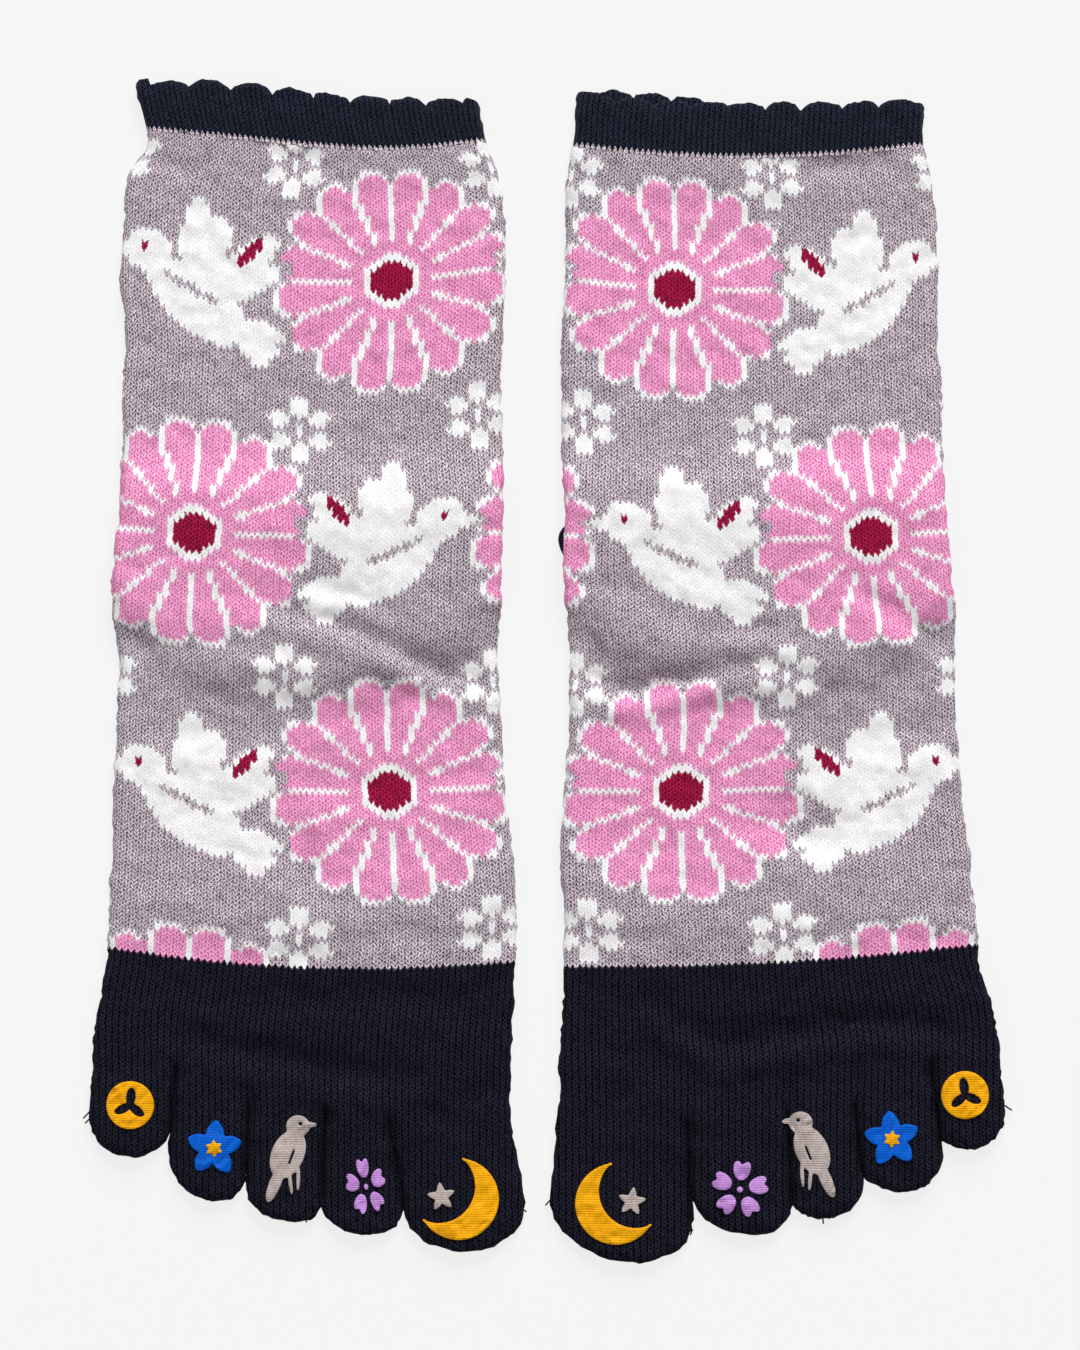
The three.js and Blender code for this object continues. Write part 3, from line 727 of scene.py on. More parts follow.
tubes = {}
shapes = {}
for sock in SOCKS:
    shape = Shape(sock)
    cloth = ClothGrid()
    root = add_body(cloth, sock, shape)
    for index in range(len(sock["tips"])):
        add_toe(cloth, sock, shape, index, *root)
    tube = cloth.build(f"{sock['name']}_sock_tube")
    apply_modifier(tube, "SOLIDIFY", thickness=WALL * MM, offset=-1)
    roughen(tube)
    smooth_faces(tube)
    places = np.array([vertex.co[:2] for vertex in tube.data.vertices]) / MM
    # the attribute "seam" holds the painted shade of the slits between the toes
    seam = tube.data.attributes.new("seam", "FLOAT", "POINT")
    seam.data.foreach_set("value", painted_slit_shade(sock, places).astype(np.float32))
    tubes[sock["name"]] = tube
    shapes[sock["name"]] = shape
    print(tube.name, len(tube.data.polygons), "faces")

# %% [markdown]
# ## The cuff
#
# The welt is knitted twice as long as it looks, turned over and joined to itself, so the cuff
# is two layers thick with a soft roll at the top. A tighter thread every ten millimetres pulls
# the roll down into a notch, and the cloth between two notches stands up as a scallop.

# %% Rows of the cuff
# share of the cuff's height, share of the welt's thickness, from outside over the rim to inside
CUFF_PROFILE = (
    (0, 0),
    (0.12, 0),
    (0.26, 0),
    (0.4, 0),
    (0.54, 0),
    (0.67, 0),
    (0.78, 0),
    (0.87, 0.03),
    (0.94, 0.1),
    (0.985, 0.26),
    (1, 0.5),
    (0.985, 0.74),
    (0.94, 0.9),
    (0.84, 1),
    (0.55, 1),
    (0, 1),
)
STEPS_PER_SCALLOP = 12
CUFF_TEETH = 0.5  # how many courses of the ground show on the cuff's piece
CUFF_LAP = 0.3  # how far the cuff's first row reaches over the leg
CUFF_PROUD = 0.06  # and how far above the leg it lies
CUFF_INSIDE = 0.05  # half the gap that always stays between the front and the back
NOTCH_DENT = 1.1  # how far the thread at a notch pulls the roll in
NOTCH_POWER = 0.5
NOTCH_CLEAR = 0.4  # no column comes closer than this to the ends of the cuff
BACK_RIM_TURNS = (0.2, 0.4)  # where across the cuff the back rim changes height, and over what
# the small round lobe at the left fold, from its outer side to the first scallop
LOBE_POINTS = FOLD_STEPS + 3
EAR_LOBE = np.sin(np.pi * np.linspace(0.3, 0.99, LOBE_POINTS)) ** 0.6


def scallop_columns(notches, left_x, right_x):
    """Columns across the cuff, with one on each notch, and how deep each is pulled down."""
    pitch = (notches[-1] - notches[0]) / (len(notches) - 1)
    marks = np.concatenate([[notches[0] - pitch], notches, [notches[-1] + pitch]])
    pairs = zip(marks, marks[1:])
    xs = np.concatenate([np.linspace(a, b, STEPS_PER_SCALLOP + 1)[:-1] for a, b in pairs])
    xs = xs[(xs > left_x + NOTCH_CLEAR) & (xs < right_x - NOTCH_CLEAR)]
    xs = np.concatenate([[left_x], xs, [right_x]])
    place = np.interp(xs, marks, np.arange(len(marks)))
    return xs, 1 - np.abs(np.sin(np.pi * place)) ** NOTCH_POWER


def cuff_spots(sock, shape, is_back, up, into):
    """Spots across the front or the back of the cuff, at one place of its profile."""
    base, rim = sock["cuff_base"], sock["cuff_top"]
    left_x, right_x = shape.left(rim) + EDGE_RADIUS, shape.right(rim) - EDGE_RADIUS
    notches = np.array(sock["notches"])
    if is_back:
        notches = notches + sock["back_shift"]
    xs, pulled = scallop_columns(notches, left_x, right_x)
    along = (xs - left_x) / (right_x - left_x)
    v = mix(base - CUFF_LAP, rim, up)
    low_x, high_x = shape.left(shape.row_y(v, -1)), shape.right(shape.row_y(v, 1))
    inset = EDGE_RADIUS + into * WELT / 2
    x = low_x + inset + along * (high_x - low_x - 2 * inset)
    s = 2 * (x - low_x) / (high_x - low_x) - 1
    turn_from, turn_over = BACK_RIM_TURNS
    rise = mix(*sock["back_rise"], smooth((along - turn_from) / turn_over)) if is_back else 0
    y = shape.row_y(v, s) - SCALLOP_DEPTH * pulled * up**3 + rise * up
    full = mix(BODY_HEIGHT + CUFF_RISE + CUFF_PROUD, CUFF_HEIGHT, float(smooth(up)))
    full = full * (1 - CROWN_DROP * s * s)
    dent = NOTCH_DENT * pulled * up**4 * (1 - into)
    if is_back:
        return in_3d(x, y, np.minimum(into * WELT + dent, full / 2 - CUFF_INSIDE))
    return in_3d(x, y, np.maximum(full - into * WELT - dent, full / 2 + CUFF_INSIDE))


def add_cuff(cloth, sock, shape):
    """The welt, from the outer base over the rim to the inner base, and closed below."""
    height = sock["cuff_top"] - sock["cuff_base"]
    rings = {False: [], True: []}
    for up, into in CUFF_PROFILE + CUFF_PROFILE[:1]:
        spots = [cuff_spots(sock, shape, is_back, up, into) for is_back in (False, True)]
        reach_x = EDGE_RADIUS - into * WELT / 2
        left, right = np.array([-reach_x, 0, 0]), np.array([reach_x, 0, 0])
        for is_back in (False, True):
            ring = half_ring(spots[is_back], spots[not is_back], left, right)
            ring[:LOBE_POINTS, 1] += sock["ear"] * up**3 * EAR_LOBE
            rings[is_back].append(ring)
    # the courses go on counting over the rim and down the inside
    both_ways = 2 * height / COURSE
    courses = []
    for up, into in CUFF_PROFILE:
        course = height * up / COURSE
        courses.append(both_ways - course if into > 0.5 else course)
    courses.append(both_ways + 2)
    for is_back, points in rings.items():
        wales = arc_stitches(points[0])
        grid = [stitch_grid(sock, wales, CUFF_TEETH - course, is_back) for course in courses]
        cloth.add(np.array(points), np.array(grid), flip=not is_back)


# %% Make the cuffs
cuffs = {}
for sock in SOCKS:
    cloth = ClothGrid()
    add_cuff(cloth, sock, shapes[sock["name"]])
    cuff = cloth.build(f"{sock['name']}_sock_cuff")
    roughen(cuff)
    smooth_faces(cuff, 70)
    cuffs[sock["name"]] = cuff
    print(cuff.name, len(cuff.data.polygons), "faces")

# %% [markdown]
# ## The heel
#
# The heel is a small bag knitted into the back of the tube. On a sock that lies face up it is
# folded flat underneath, and only one corner looks out at the side of the right sock.

# %% Make the heels
HEEL_COLUMNS = 60
HEEL_ROWS = 20
HEEL_ENDS_THICKNESS = 1.5
HEEL_SEAM = 0.4  # the bag's edge lies at this share of its thickness
HEEL_PAST_TOE_LINE = 20  # its rows count as ones past the toe line, where all yarn is navy
# powers of the rounding: the higher, the nearer to the edge it stays
HEEL_TIP_POWER = 8
HEEL_EDGE_POWER = 3.5
HEEL_END_POWER = 30


def heel_grid(sock, shape, is_bottom):
    """One side of the flat bag, rounded off towards its edge."""
    middle, corner, half_height, over_left, over_right = sock["heel"]
    s = -np.cos(np.linspace(0, np.pi, HEEL_COLUMNS + 1))[:, None]
    k = np.cos(np.linspace(0, np.pi, HEEL_ROWS + 1))[None, :]
    x = mix(shape.left(corner) - over_left, shape.right(corner) + over_right, 0.5 + 0.5 * s)
    half = half_height * np.sqrt(1 - s * s) + HEEL_TIP * (1 - s**HEEL_TIP_POWER)
    y = mix(middle, corner, s * s) + half * k
    thickness = mix(HEEL_ENDS_THICKNESS, HEEL_THICKNESS, np.sqrt(1 - s**HEEL_TIP_POWER))
    edge = np.sqrt(1 - np.abs(k) ** HEEL_EDGE_POWER) * np.sqrt(1 - s**HEEL_END_POWER)
    seam = HEEL_SEAM * thickness
    z = seam - seam * edge if is_bottom else seam + (thickness - seam) * edge
    wales = x / WALE + 0 * k
    courses = BODY_COURSES + HEEL_PAST_TOE_LINE + np.abs(half * k) / COURSE
    return in_3d(x, y, z), np.stack(np.broadcast_arrays(wales, courses), axis=-1)


heels = {}
for sock in SOCKS:
    cloth = ClothGrid()
    for is_bottom in (False, True):
        points, stitches = heel_grid(sock, shapes[sock["name"]], is_bottom)
        cloth.add(points, stitches, flip=not is_bottom)
    heel = cloth.build(f"{sock['name']}_sock_heel")
    smooth_faces(heel, 60)
    heels[sock["name"]] = heel
    print(heel.name, len(heel.data.polygons), "faces")

# %% [markdown]
# ## Nodes for the finishes
#
# Every material below is a small drawing made with nodes. One helper adds a node with its
# settings and links, and another turns a hex colour, as a paint shop gives it, to the linear
# numbers that light needs.

# %% Helpers for materials


def add_node(tree, kind, inputs=None, **settings):
    """Add a node, set it up, and fill its inputs with values or with other nodes' outputs."""
    node = tree.nodes.new(kind)
    for key, value in settings.items():
        setattr(node, key, value)
    for key, value in (inputs or {}).items():
        if isinstance(value, bpy.types.Node):
            value = value.outputs[0]
        if isinstance(value, bpy.types.NodeSocket):
            tree.links.new(value, node.inputs[key])
        else:
            node.inputs[key].default_value = value
    return node


def colour(hex_value):
    """A linear colour from sRGB hex."""
    channels = [int(hex_value[i : i + 2], 16) / 255 for i in (1, 3, 5)]
    linear = [c / 12.92 if c <= 0.04045 else ((c + 0.055) / 1.055) ** 2.4 for c in channels]
    return (*linear, 1.0)


def new_material(name, values):
    """A material with only an output and a Principled shader with the given values."""
    material = bpy.data.materials.new(name)
    material.use_nodes = True
    material.node_tree.nodes.clear()
    shader = add_node(material.node_tree, "ShaderNodeBsdfPrincipled", values)
    add_node(material.node_tree, "ShaderNodeOutputMaterial", {"Surface": shader})
    return material, material.node_tree, shader


# %% [markdown]
# ## The stitch
#
# A plain knit stitch shows as a V: two short strands that lean together at the bottom. The node
# group below reads the UV map, which counts stitches, and says for each point which stitch it
# lies in and how high it sits on the strand. Lifting the row number towards the sides of each
# column turns square cells into Vs, and it gives every colour boundary the fine teeth that real
# knitting has.

# %% Node group: where a point lies in its stitch
STITCH_RISE = 1.05
# scale, detail and amount, in stitches, of the shifts: the machine's stitches are a little
# uneven, and loose fibres blur the edge between two colours
UNEVEN = (0.5, 1.0, 0.55)
HAIRY = (4.0, 2.0, 0.7)


def stitch_group():
    tree = bpy.data.node_groups.new("stitch", "ShaderNodeTree")
    tree.interface.new_socket("Place", in_out="INPUT", socket_type="NodeSocketVector")
    tree.interface.new_socket("Stitch", in_out="OUTPUT", socket_type="NodeSocketVector")
    tree.interface.new_socket("Strand", in_out="OUTPUT", socket_type="NodeSocketFloat")
    inputs = add_node(tree, "NodeGroupInput")
    given = inputs.outputs[0]
    place = given
    for scale, detail, amount in (UNEVEN, HAIRY):
        noise = add_node(tree, "ShaderNodeTexNoise", {"Vector": given, "Scale": scale, "Detail": detail})
        half = amount / 2
        shift = add_node(
            tree,
            "ShaderNodeVectorMath",
            {0: noise.outputs["Color"], 1: (amount, amount, 0.0), 2: (-half, -half, 0.0)},
            operation="MULTIPLY_ADD",
        )
        place = add_node(tree, "ShaderNodeVectorMath", {0: place, 1: shift}, operation="ADD")
    place = add_node(tree, "ShaderNodeSeparateXYZ", {0: place})
    wale = add_node(tree, "ShaderNodeMath", {0: place.outputs[0]}, operation="FLOOR")
    side = add_node(tree, "ShaderNodeMath", {0: place.outputs[0]}, operation="FRACT")
    side = add_node(tree, "ShaderNodeMath", {0: side, 1: 0.5}, operation="SUBTRACT")
    side = add_node(tree, "ShaderNodeMath", {0: side}, operation="ABSOLUTE")
    side = add_node(tree, "ShaderNodeMath", {0: side, 1: 2.0}, operation="MULTIPLY")
    lifted = add_node(
        tree, "ShaderNodeMath", {0: side, 1: STITCH_RISE, 2: place.outputs[1]}, operation="MULTIPLY_ADD"
    )
    course = add_node(tree, "ShaderNodeMath", {0: lifted}, operation="FLOOR")
    across = add_node(tree, "ShaderNodeMath", {0: lifted}, operation="FRACT")
    across = add_node(tree, "ShaderNodeMath", {0: across, 1: 2.0, 2: -1.0}, operation="MULTIPLY_ADD")
    # the strand is highest a little inside the middle, so the gap between columns is the deepest
    along = add_node(tree, "ShaderNodeMath", {0: side, 1: 1.88, 2: -0.88}, operation="MULTIPLY_ADD")
    across = add_node(tree, "ShaderNodeMath", {0: across, 1: across}, operation="MULTIPLY")
    along = add_node(tree, "ShaderNodeMath", {0: along, 1: along}, operation="MULTIPLY")
    along = add_node(tree, "ShaderNodeMath", {0: along, 1: 0.75}, operation="MULTIPLY")
    bulge = add_node(tree, "ShaderNodeMath", {0: 1.0, 1: across}, operation="SUBTRACT")
    bulge = add_node(tree, "ShaderNodeMath", {0: bulge, 1: along}, operation="SUBTRACT")
    bulge = add_node(tree, "ShaderNodeMath", {0: bulge, 1: 0.0}, operation="MAXIMUM")
    strand = add_node(tree, "ShaderNodeMath", {0: bulge}, operation="SQRT")
    stitch = add_node(tree, "ShaderNodeCombineXYZ", {0: wale, 1: course})
    add_node(tree, "NodeGroupOutput", {"Stitch": stitch, "Strand": strand})
    return tree


STITCH = stitch_group()
print(STITCH.name, len(STITCH.nodes), "nodes")

# %% [markdown]
# ## The pattern
#
# The jacquard pattern is a half drop: every motif comes back one width of the sock further on
# and, in between, shifted by half of both. The motifs are general ones: a large many-petalled
# bloom, a small six-petalled blossom, and a plain white dove that flies up between the blooms.
# Each is worked out at the middle of a stitch, so every stitch has one colour.

# %% Sizes of the pattern
# in stitches: the repeat, the step to the motif between, and the middle of each motif
REPEAT = (FRONT_WALES, 120)
HALF_STEP = (33, 60)
BLOOM_AT = (45, 32)
DOVE_AT = (45, 95)
BLOSSOM_AT = (30, 67)
SECOND_BLOSSOM_AT = (60, 65)
PETALS = 16
BLOSSOM_PETALS = 6
# in millimetres, from the middle of the bloom: its rim, the depth of the notches between
# petals, the white edge, where the lines between petals start, the white ring, the crimson eye
BLOOM_RADIUS = 28.8
BLOOM_NOTCH = 4.6
WHITE_EDGE = 1.5
LINES_FROM = 9.5
WHITE_RING = 6.6
CRIMSON_EYE = 4.9
NOTCH_SHARPNESS = 2.4
LINE_WIDTH = 0.56  # half the width of a line between petals, in stitches
# each shape is an ellipse: centre x and y, half length, half width, turn; y points down the sock
BLOSSOM_PETAL = (5.6, 0.0, 2.5, 2.25, 0)
BLOSSOM_EYE = (0.0, 0.0, 1.2, 1.2, 0)


def feathers(x, y, reach, half_width, *turns):
    """A fan of ellipses that all start at x, y."""
    fan = []
    for turn in turns:
        across, down = math.cos(math.radians(turn)), math.sin(math.radians(turn))
        fan.append((x + reach / 2 * across, y + reach / 2 * down, reach / 2, half_width, turn))
    return fan


DOVE = (
    (0.0, 4.0, 13.5, 7.4, -36),
    (12.0, -7.0, 5.6, 5.2, 0),
    (18.2, -6.8, 3.8, 1.5, 8),
    *feathers(1, 0, 22, 3.9, 268),
    *feathers(0, 1, 19, 3.7, 252),
    *feathers(-3, 2, 22, 3.8, 226),
    *feathers(-4, 3, 18, 3.2, 210),
    *feathers(-8, 8, 13, 2.6, 126, 146, 166),
)
DOVE_MARKS = ((13.4, -7.8, 0.9, 1.5, 0), (-12.0, -9.4, 4.4, 1.4, 46))
WING_LINE = (1.5, 0.6, 7.5, 0.8, -24)
DOVE_CLEAR = 1.3  # the ground keeps clear round the dove to this share of each ellipse
print("repeat", round(REPEAT[0] * WALE), "by", round(REPEAT[1] * COURSE), "mm")

# %% Helpers for the pattern


def half_drop(tree, place, centre, mirror):
    """The place of a point as seen from the nearest motif centre of the half-drop pattern."""
    width, height = REPEAT[0] * WALE, REPEAT[1] * COURSE
    nearest = []
    for step, turn in ((0, 1.0), (1, -1.0 if mirror else 1.0)):
        wale, course = (centre[i] + step * HALF_STEP[i] + 0.5 for i in (0, 1))
        middle = (wale * WALE, course * COURSE, 0.0)
        local = add_node(tree, "ShaderNodeVectorMath", {0: place, 1: middle}, operation="SUBTRACT")
        local = add_node(
            tree,
            "ShaderNodeVectorMath",
            {0: local, 1: (width / 2, height / 2, 1.0), 2: (-width / 2, -height / 2, -1.0)},
            operation="WRAP",
        )
        local = add_node(tree, "ShaderNodeVectorMath", {0: local, 1: (turn, 1.0, 0.0)}, operation="MULTIPLY")
        nearest.append(local)
    lengths = [
        add_node(tree, "ShaderNodeVectorMath", {0: local}, operation="LENGTH").outputs["Value"]
        for local in nearest
    ]
    second = add_node(tree, "ShaderNodeMath", {0: lengths[0], 1: lengths[1]}, operation="GREATER_THAN")
    chosen = {0: second, 4: nearest[0], 5: nearest[1]}
    return add_node(tree, "ShaderNodeMix", chosen, data_type="VECTOR").outputs[1]


def ellipses(tree, place, shapes_of):
    """The least distance to any of some ellipses, as a share of its size: under 1 is inside."""
    nearest = None
    for x, y, half_length, half_width, turn in shapes_of:
        local = add_node(
            tree,
            "ShaderNodeMapping",
            {
                "Vector": place,
                "Location": (x, y, 0.0),
                "Rotation": (0.0, 0.0, math.radians(turn)),
                "Scale": (half_length, half_width, 1.0),
            },
            vector_type="TEXTURE",
        )
        far = add_node(tree, "ShaderNodeVectorMath", {0: local}, operation="LENGTH").outputs["Value"]
        if nearest is None:
            nearest = far
        else:
            nearest = add_node(tree, "ShaderNodeMath", {0: nearest, 1: far}, operation="MINIMUM")
    return nearest


def round_petals(tree, place, count):
    """Distance from a flower's centre, and 0 at the middle of a petal to 1 between petals."""
    radius = add_node(tree, "ShaderNodeVectorMath", {0: place}, operation="LENGTH").outputs["Value"]
    axes = add_node(tree, "ShaderNodeSeparateXYZ", {0: place})
    angle = add_node(tree, "ShaderNodeMath", {0: axes.outputs[1], 1: axes.outputs[0]}, operation="ARCTAN2")
    turn = add_node(tree, "ShaderNodeMath", {0: angle, 1: count / math.tau}, operation="MULTIPLY")
    turn = add_node(tree, "ShaderNodeMath", {0: turn}, operation="FRACT")
    turn = add_node(tree, "ShaderNodeMath", {0: turn, 1: 2.0, 2: -1.0}, operation="MULTIPLY_ADD")
    between = add_node(tree, "ShaderNodeMath", {0: turn}, operation="ABSOLUTE").outputs[0]
    return radius, turn.outputs[0], between


# %% Nodes of the bloom, the blossoms and the dove


def bloom_nodes(tree, place):
    """The large bloom: a white disc with notches, pink petals in it and a crimson eye."""
    bloom = half_drop(tree, place, BLOOM_AT, mirror=False)
    radius, _, between = round_petals(tree, bloom, PETALS)
    dip = add_node(tree, "ShaderNodeMath", {0: between, 1: NOTCH_SHARPNESS}, operation="POWER")
    rim = add_node(
        tree, "ShaderNodeMath", {0: dip, 1: -BLOOM_NOTCH, 2: BLOOM_RADIUS}, operation="MULTIPLY_ADD"
    )
    white = add_node(tree, "ShaderNodeMath", {0: radius, 1: rim}, operation="LESS_THAN")
    inner_rim = add_node(tree, "ShaderNodeMath", {0: rim, 1: WHITE_EDGE}, operation="SUBTRACT")
    inside = add_node(tree, "ShaderNodeMath", {0: radius, 1: inner_rim}, operation="LESS_THAN")
    to_line = add_node(tree, "ShaderNodeMath", {0: 1.0, 1: between}, operation="SUBTRACT")
    for factor in (radius, radius, math.pi / PETALS):
        to_line = add_node(tree, "ShaderNodeMath", {0: to_line, 1: factor}, operation="MULTIPLY")

    # half a stitch across, whichever way the line runs, so that it never breaks up
    away = add_node(tree, "ShaderNodeVectorMath", {0: bloom}, operation="ABSOLUTE")
    away = add_node(tree, "ShaderNodeSeparateXYZ", {0: away})
    level, steep = (
        add_node(tree, "ShaderNodeMath", {0: part, 1: LINE_WIDTH * size}, operation="MULTIPLY")
        for part, size in zip(away.outputs, (COURSE, WALE))
    )
    half_line = add_node(tree, "ShaderNodeMath", {0: level, 1: steep}, operation="MAXIMUM")
    off_line = add_node(tree, "ShaderNodeMath", {0: to_line, 1: half_line}, operation="GREATER_THAN")
    near = add_node(tree, "ShaderNodeMath", {0: radius, 1: LINES_FROM}, operation="LESS_THAN")
    petal = add_node(tree, "ShaderNodeMath", {0: off_line, 1: near}, operation="MAXIMUM")
    off_ring = add_node(tree, "ShaderNodeMath", {0: radius, 1: WHITE_RING}, operation="GREATER_THAN")
    pink = add_node(tree, "ShaderNodeMath", {0: petal, 1: inside}, operation="MULTIPLY")
    pink = add_node(tree, "ShaderNodeMath", {0: pink, 1: off_ring}, operation="MULTIPLY")
    crimson = add_node(tree, "ShaderNodeMath", {0: radius, 1: CRIMSON_EYE}, operation="LESS_THAN")
    return white, pink, crimson


def blossom_nodes(tree, place):
    """The small blossoms: each petal is one ellipse, turned round the middle."""
    half_petal = math.pi / BLOSSOM_PETALS
    found = 0.0
    for centre in (BLOSSOM_AT, SECOND_BLOSSOM_AT):
        local = half_drop(tree, place, centre, mirror=False)
        far, turn, _ = round_petals(tree, local, BLOSSOM_PETALS)
        angle = add_node(tree, "ShaderNodeMath", {0: turn, 1: half_petal}, operation="MULTIPLY")
        in_petal = []
        for operation in ("COSINE", "SINE"):
            part = add_node(tree, "ShaderNodeMath", {0: angle}, operation=operation)
            in_petal.append(add_node(tree, "ShaderNodeMath", {0: part, 1: far}, operation="MULTIPLY"))
        in_petal = add_node(tree, "ShaderNodeCombineXYZ", dict(enumerate(in_petal)))
        flower = ellipses(tree, in_petal, (BLOSSOM_PETAL, BLOSSOM_EYE))
        hit = add_node(tree, "ShaderNodeMath", {0: flower, 1: 1.0}, operation="LESS_THAN")
        found = add_node(tree, "ShaderNodeMath", {0: found, 1: hit}, operation="MAXIMUM")
    return found


def dove_nodes(tree, place):
    """The dove: the clear ground round it, its white, and its crimson marks."""
    dove = half_drop(tree, place, DOVE_AT, mirror=True)
    distance = ellipses(tree, dove, DOVE)
    to_line = ellipses(tree, dove, (WING_LINE,))
    to_marks = ellipses(tree, dove, DOVE_MARKS)
    clear, body, line, marks = (
        add_node(tree, "ShaderNodeMath", {0: far, 1: limit}, operation="LESS_THAN")
        for far, limit in ((distance, DOVE_CLEAR), (distance, 1.0), (to_line, 1.0), (to_marks, 1.0))
    )
    body = add_node(tree, "ShaderNodeMath", {0: body, 1: line}, operation="SUBTRACT", use_clamp=True)
    return clear, body, marks


# %% Node group: jacquard pattern


def pattern_group():
    """For a stitch: is it white, pink or crimson? Each output is 0 or 1."""
    tree = bpy.data.node_groups.new("jacquard_pattern", "ShaderNodeTree")
    tree.interface.new_socket("Stitch", in_out="INPUT", socket_type="NodeSocketVector")
    for name in ("White", "Pink", "Crimson"):
        tree.interface.new_socket(name, in_out="OUTPUT", socket_type="NodeSocketFloat")
    inputs = add_node(tree, "NodeGroupInput")
    place = add_node(
        tree,
        "ShaderNodeVectorMath",
        {0: inputs.outputs[0], 1: (WALE, COURSE, 0.0), 2: (WALE / 2, COURSE / 2, 0.0)},
        operation="MULTIPLY_ADD",
    )
    bloom_white, pink, crimson = bloom_nodes(tree, place)
    blossoms = blossom_nodes(tree, place)
    clear, dove, marks = dove_nodes(tree, place)
    white = add_node(tree, "ShaderNodeMath", {0: bloom_white, 1: blossoms}, operation="MAXIMUM")
    white, pink, crimson = (
        add_node(tree, "ShaderNodeMath", {0: yarn, 1: clear}, operation="SUBTRACT", use_clamp=True)
        for yarn in (white, pink, crimson)
    )
    white = add_node(tree, "ShaderNodeMath", {0: white, 1: dove}, operation="MAXIMUM")
    crimson = add_node(tree, "ShaderNodeMath", {0: crimson, 1: marks}, operation="MAXIMUM")
    add_node(tree, "NodeGroupOutput", {"White": white, "Pink": pink, "Crimson": crimson})
    return tree


PATTERN = pattern_group()
print(PATTERN.name, len(PATTERN.nodes), "nodes")

# %% [markdown]
# ## The knit
#
# The yarn is a cotton and nylon blend: matt and a little fuzzy. Light falls on the crown of each
# strand, and the gap beside it lies in shade. So every yarn has two colours: one for the strand,
# and a darker one for the gap, which is painted shade. White yarn is thick and fills its gaps, so
# its painted shade is faint, and the grey ground has the deepest gaps and the darkest painted shade.

# %% Material: jacquard knit
KNIT_FINISH = {"Roughness": 0.92, "Specular IOR Level": 0.03}
BUMP_DEPTH = 0.3 * MM
# how far the painted shade darkens the yarn in the slits between the toes
SLIT_SHADE_STRENGTH = 0.85
# the strand's colour, and the gap's colour, which is painted shade
YARNS = {
    "ground": ("#EADCE8", "#5C4D54"),
    "white": ("#FFFFFF", "#EFECEE"),
    "pink": ("#FFBCE2", "#CC5C96"),
    "crimson": ("#B81D4D", "#560A22"),
    "navy": ("#282838", "#000001"),
}


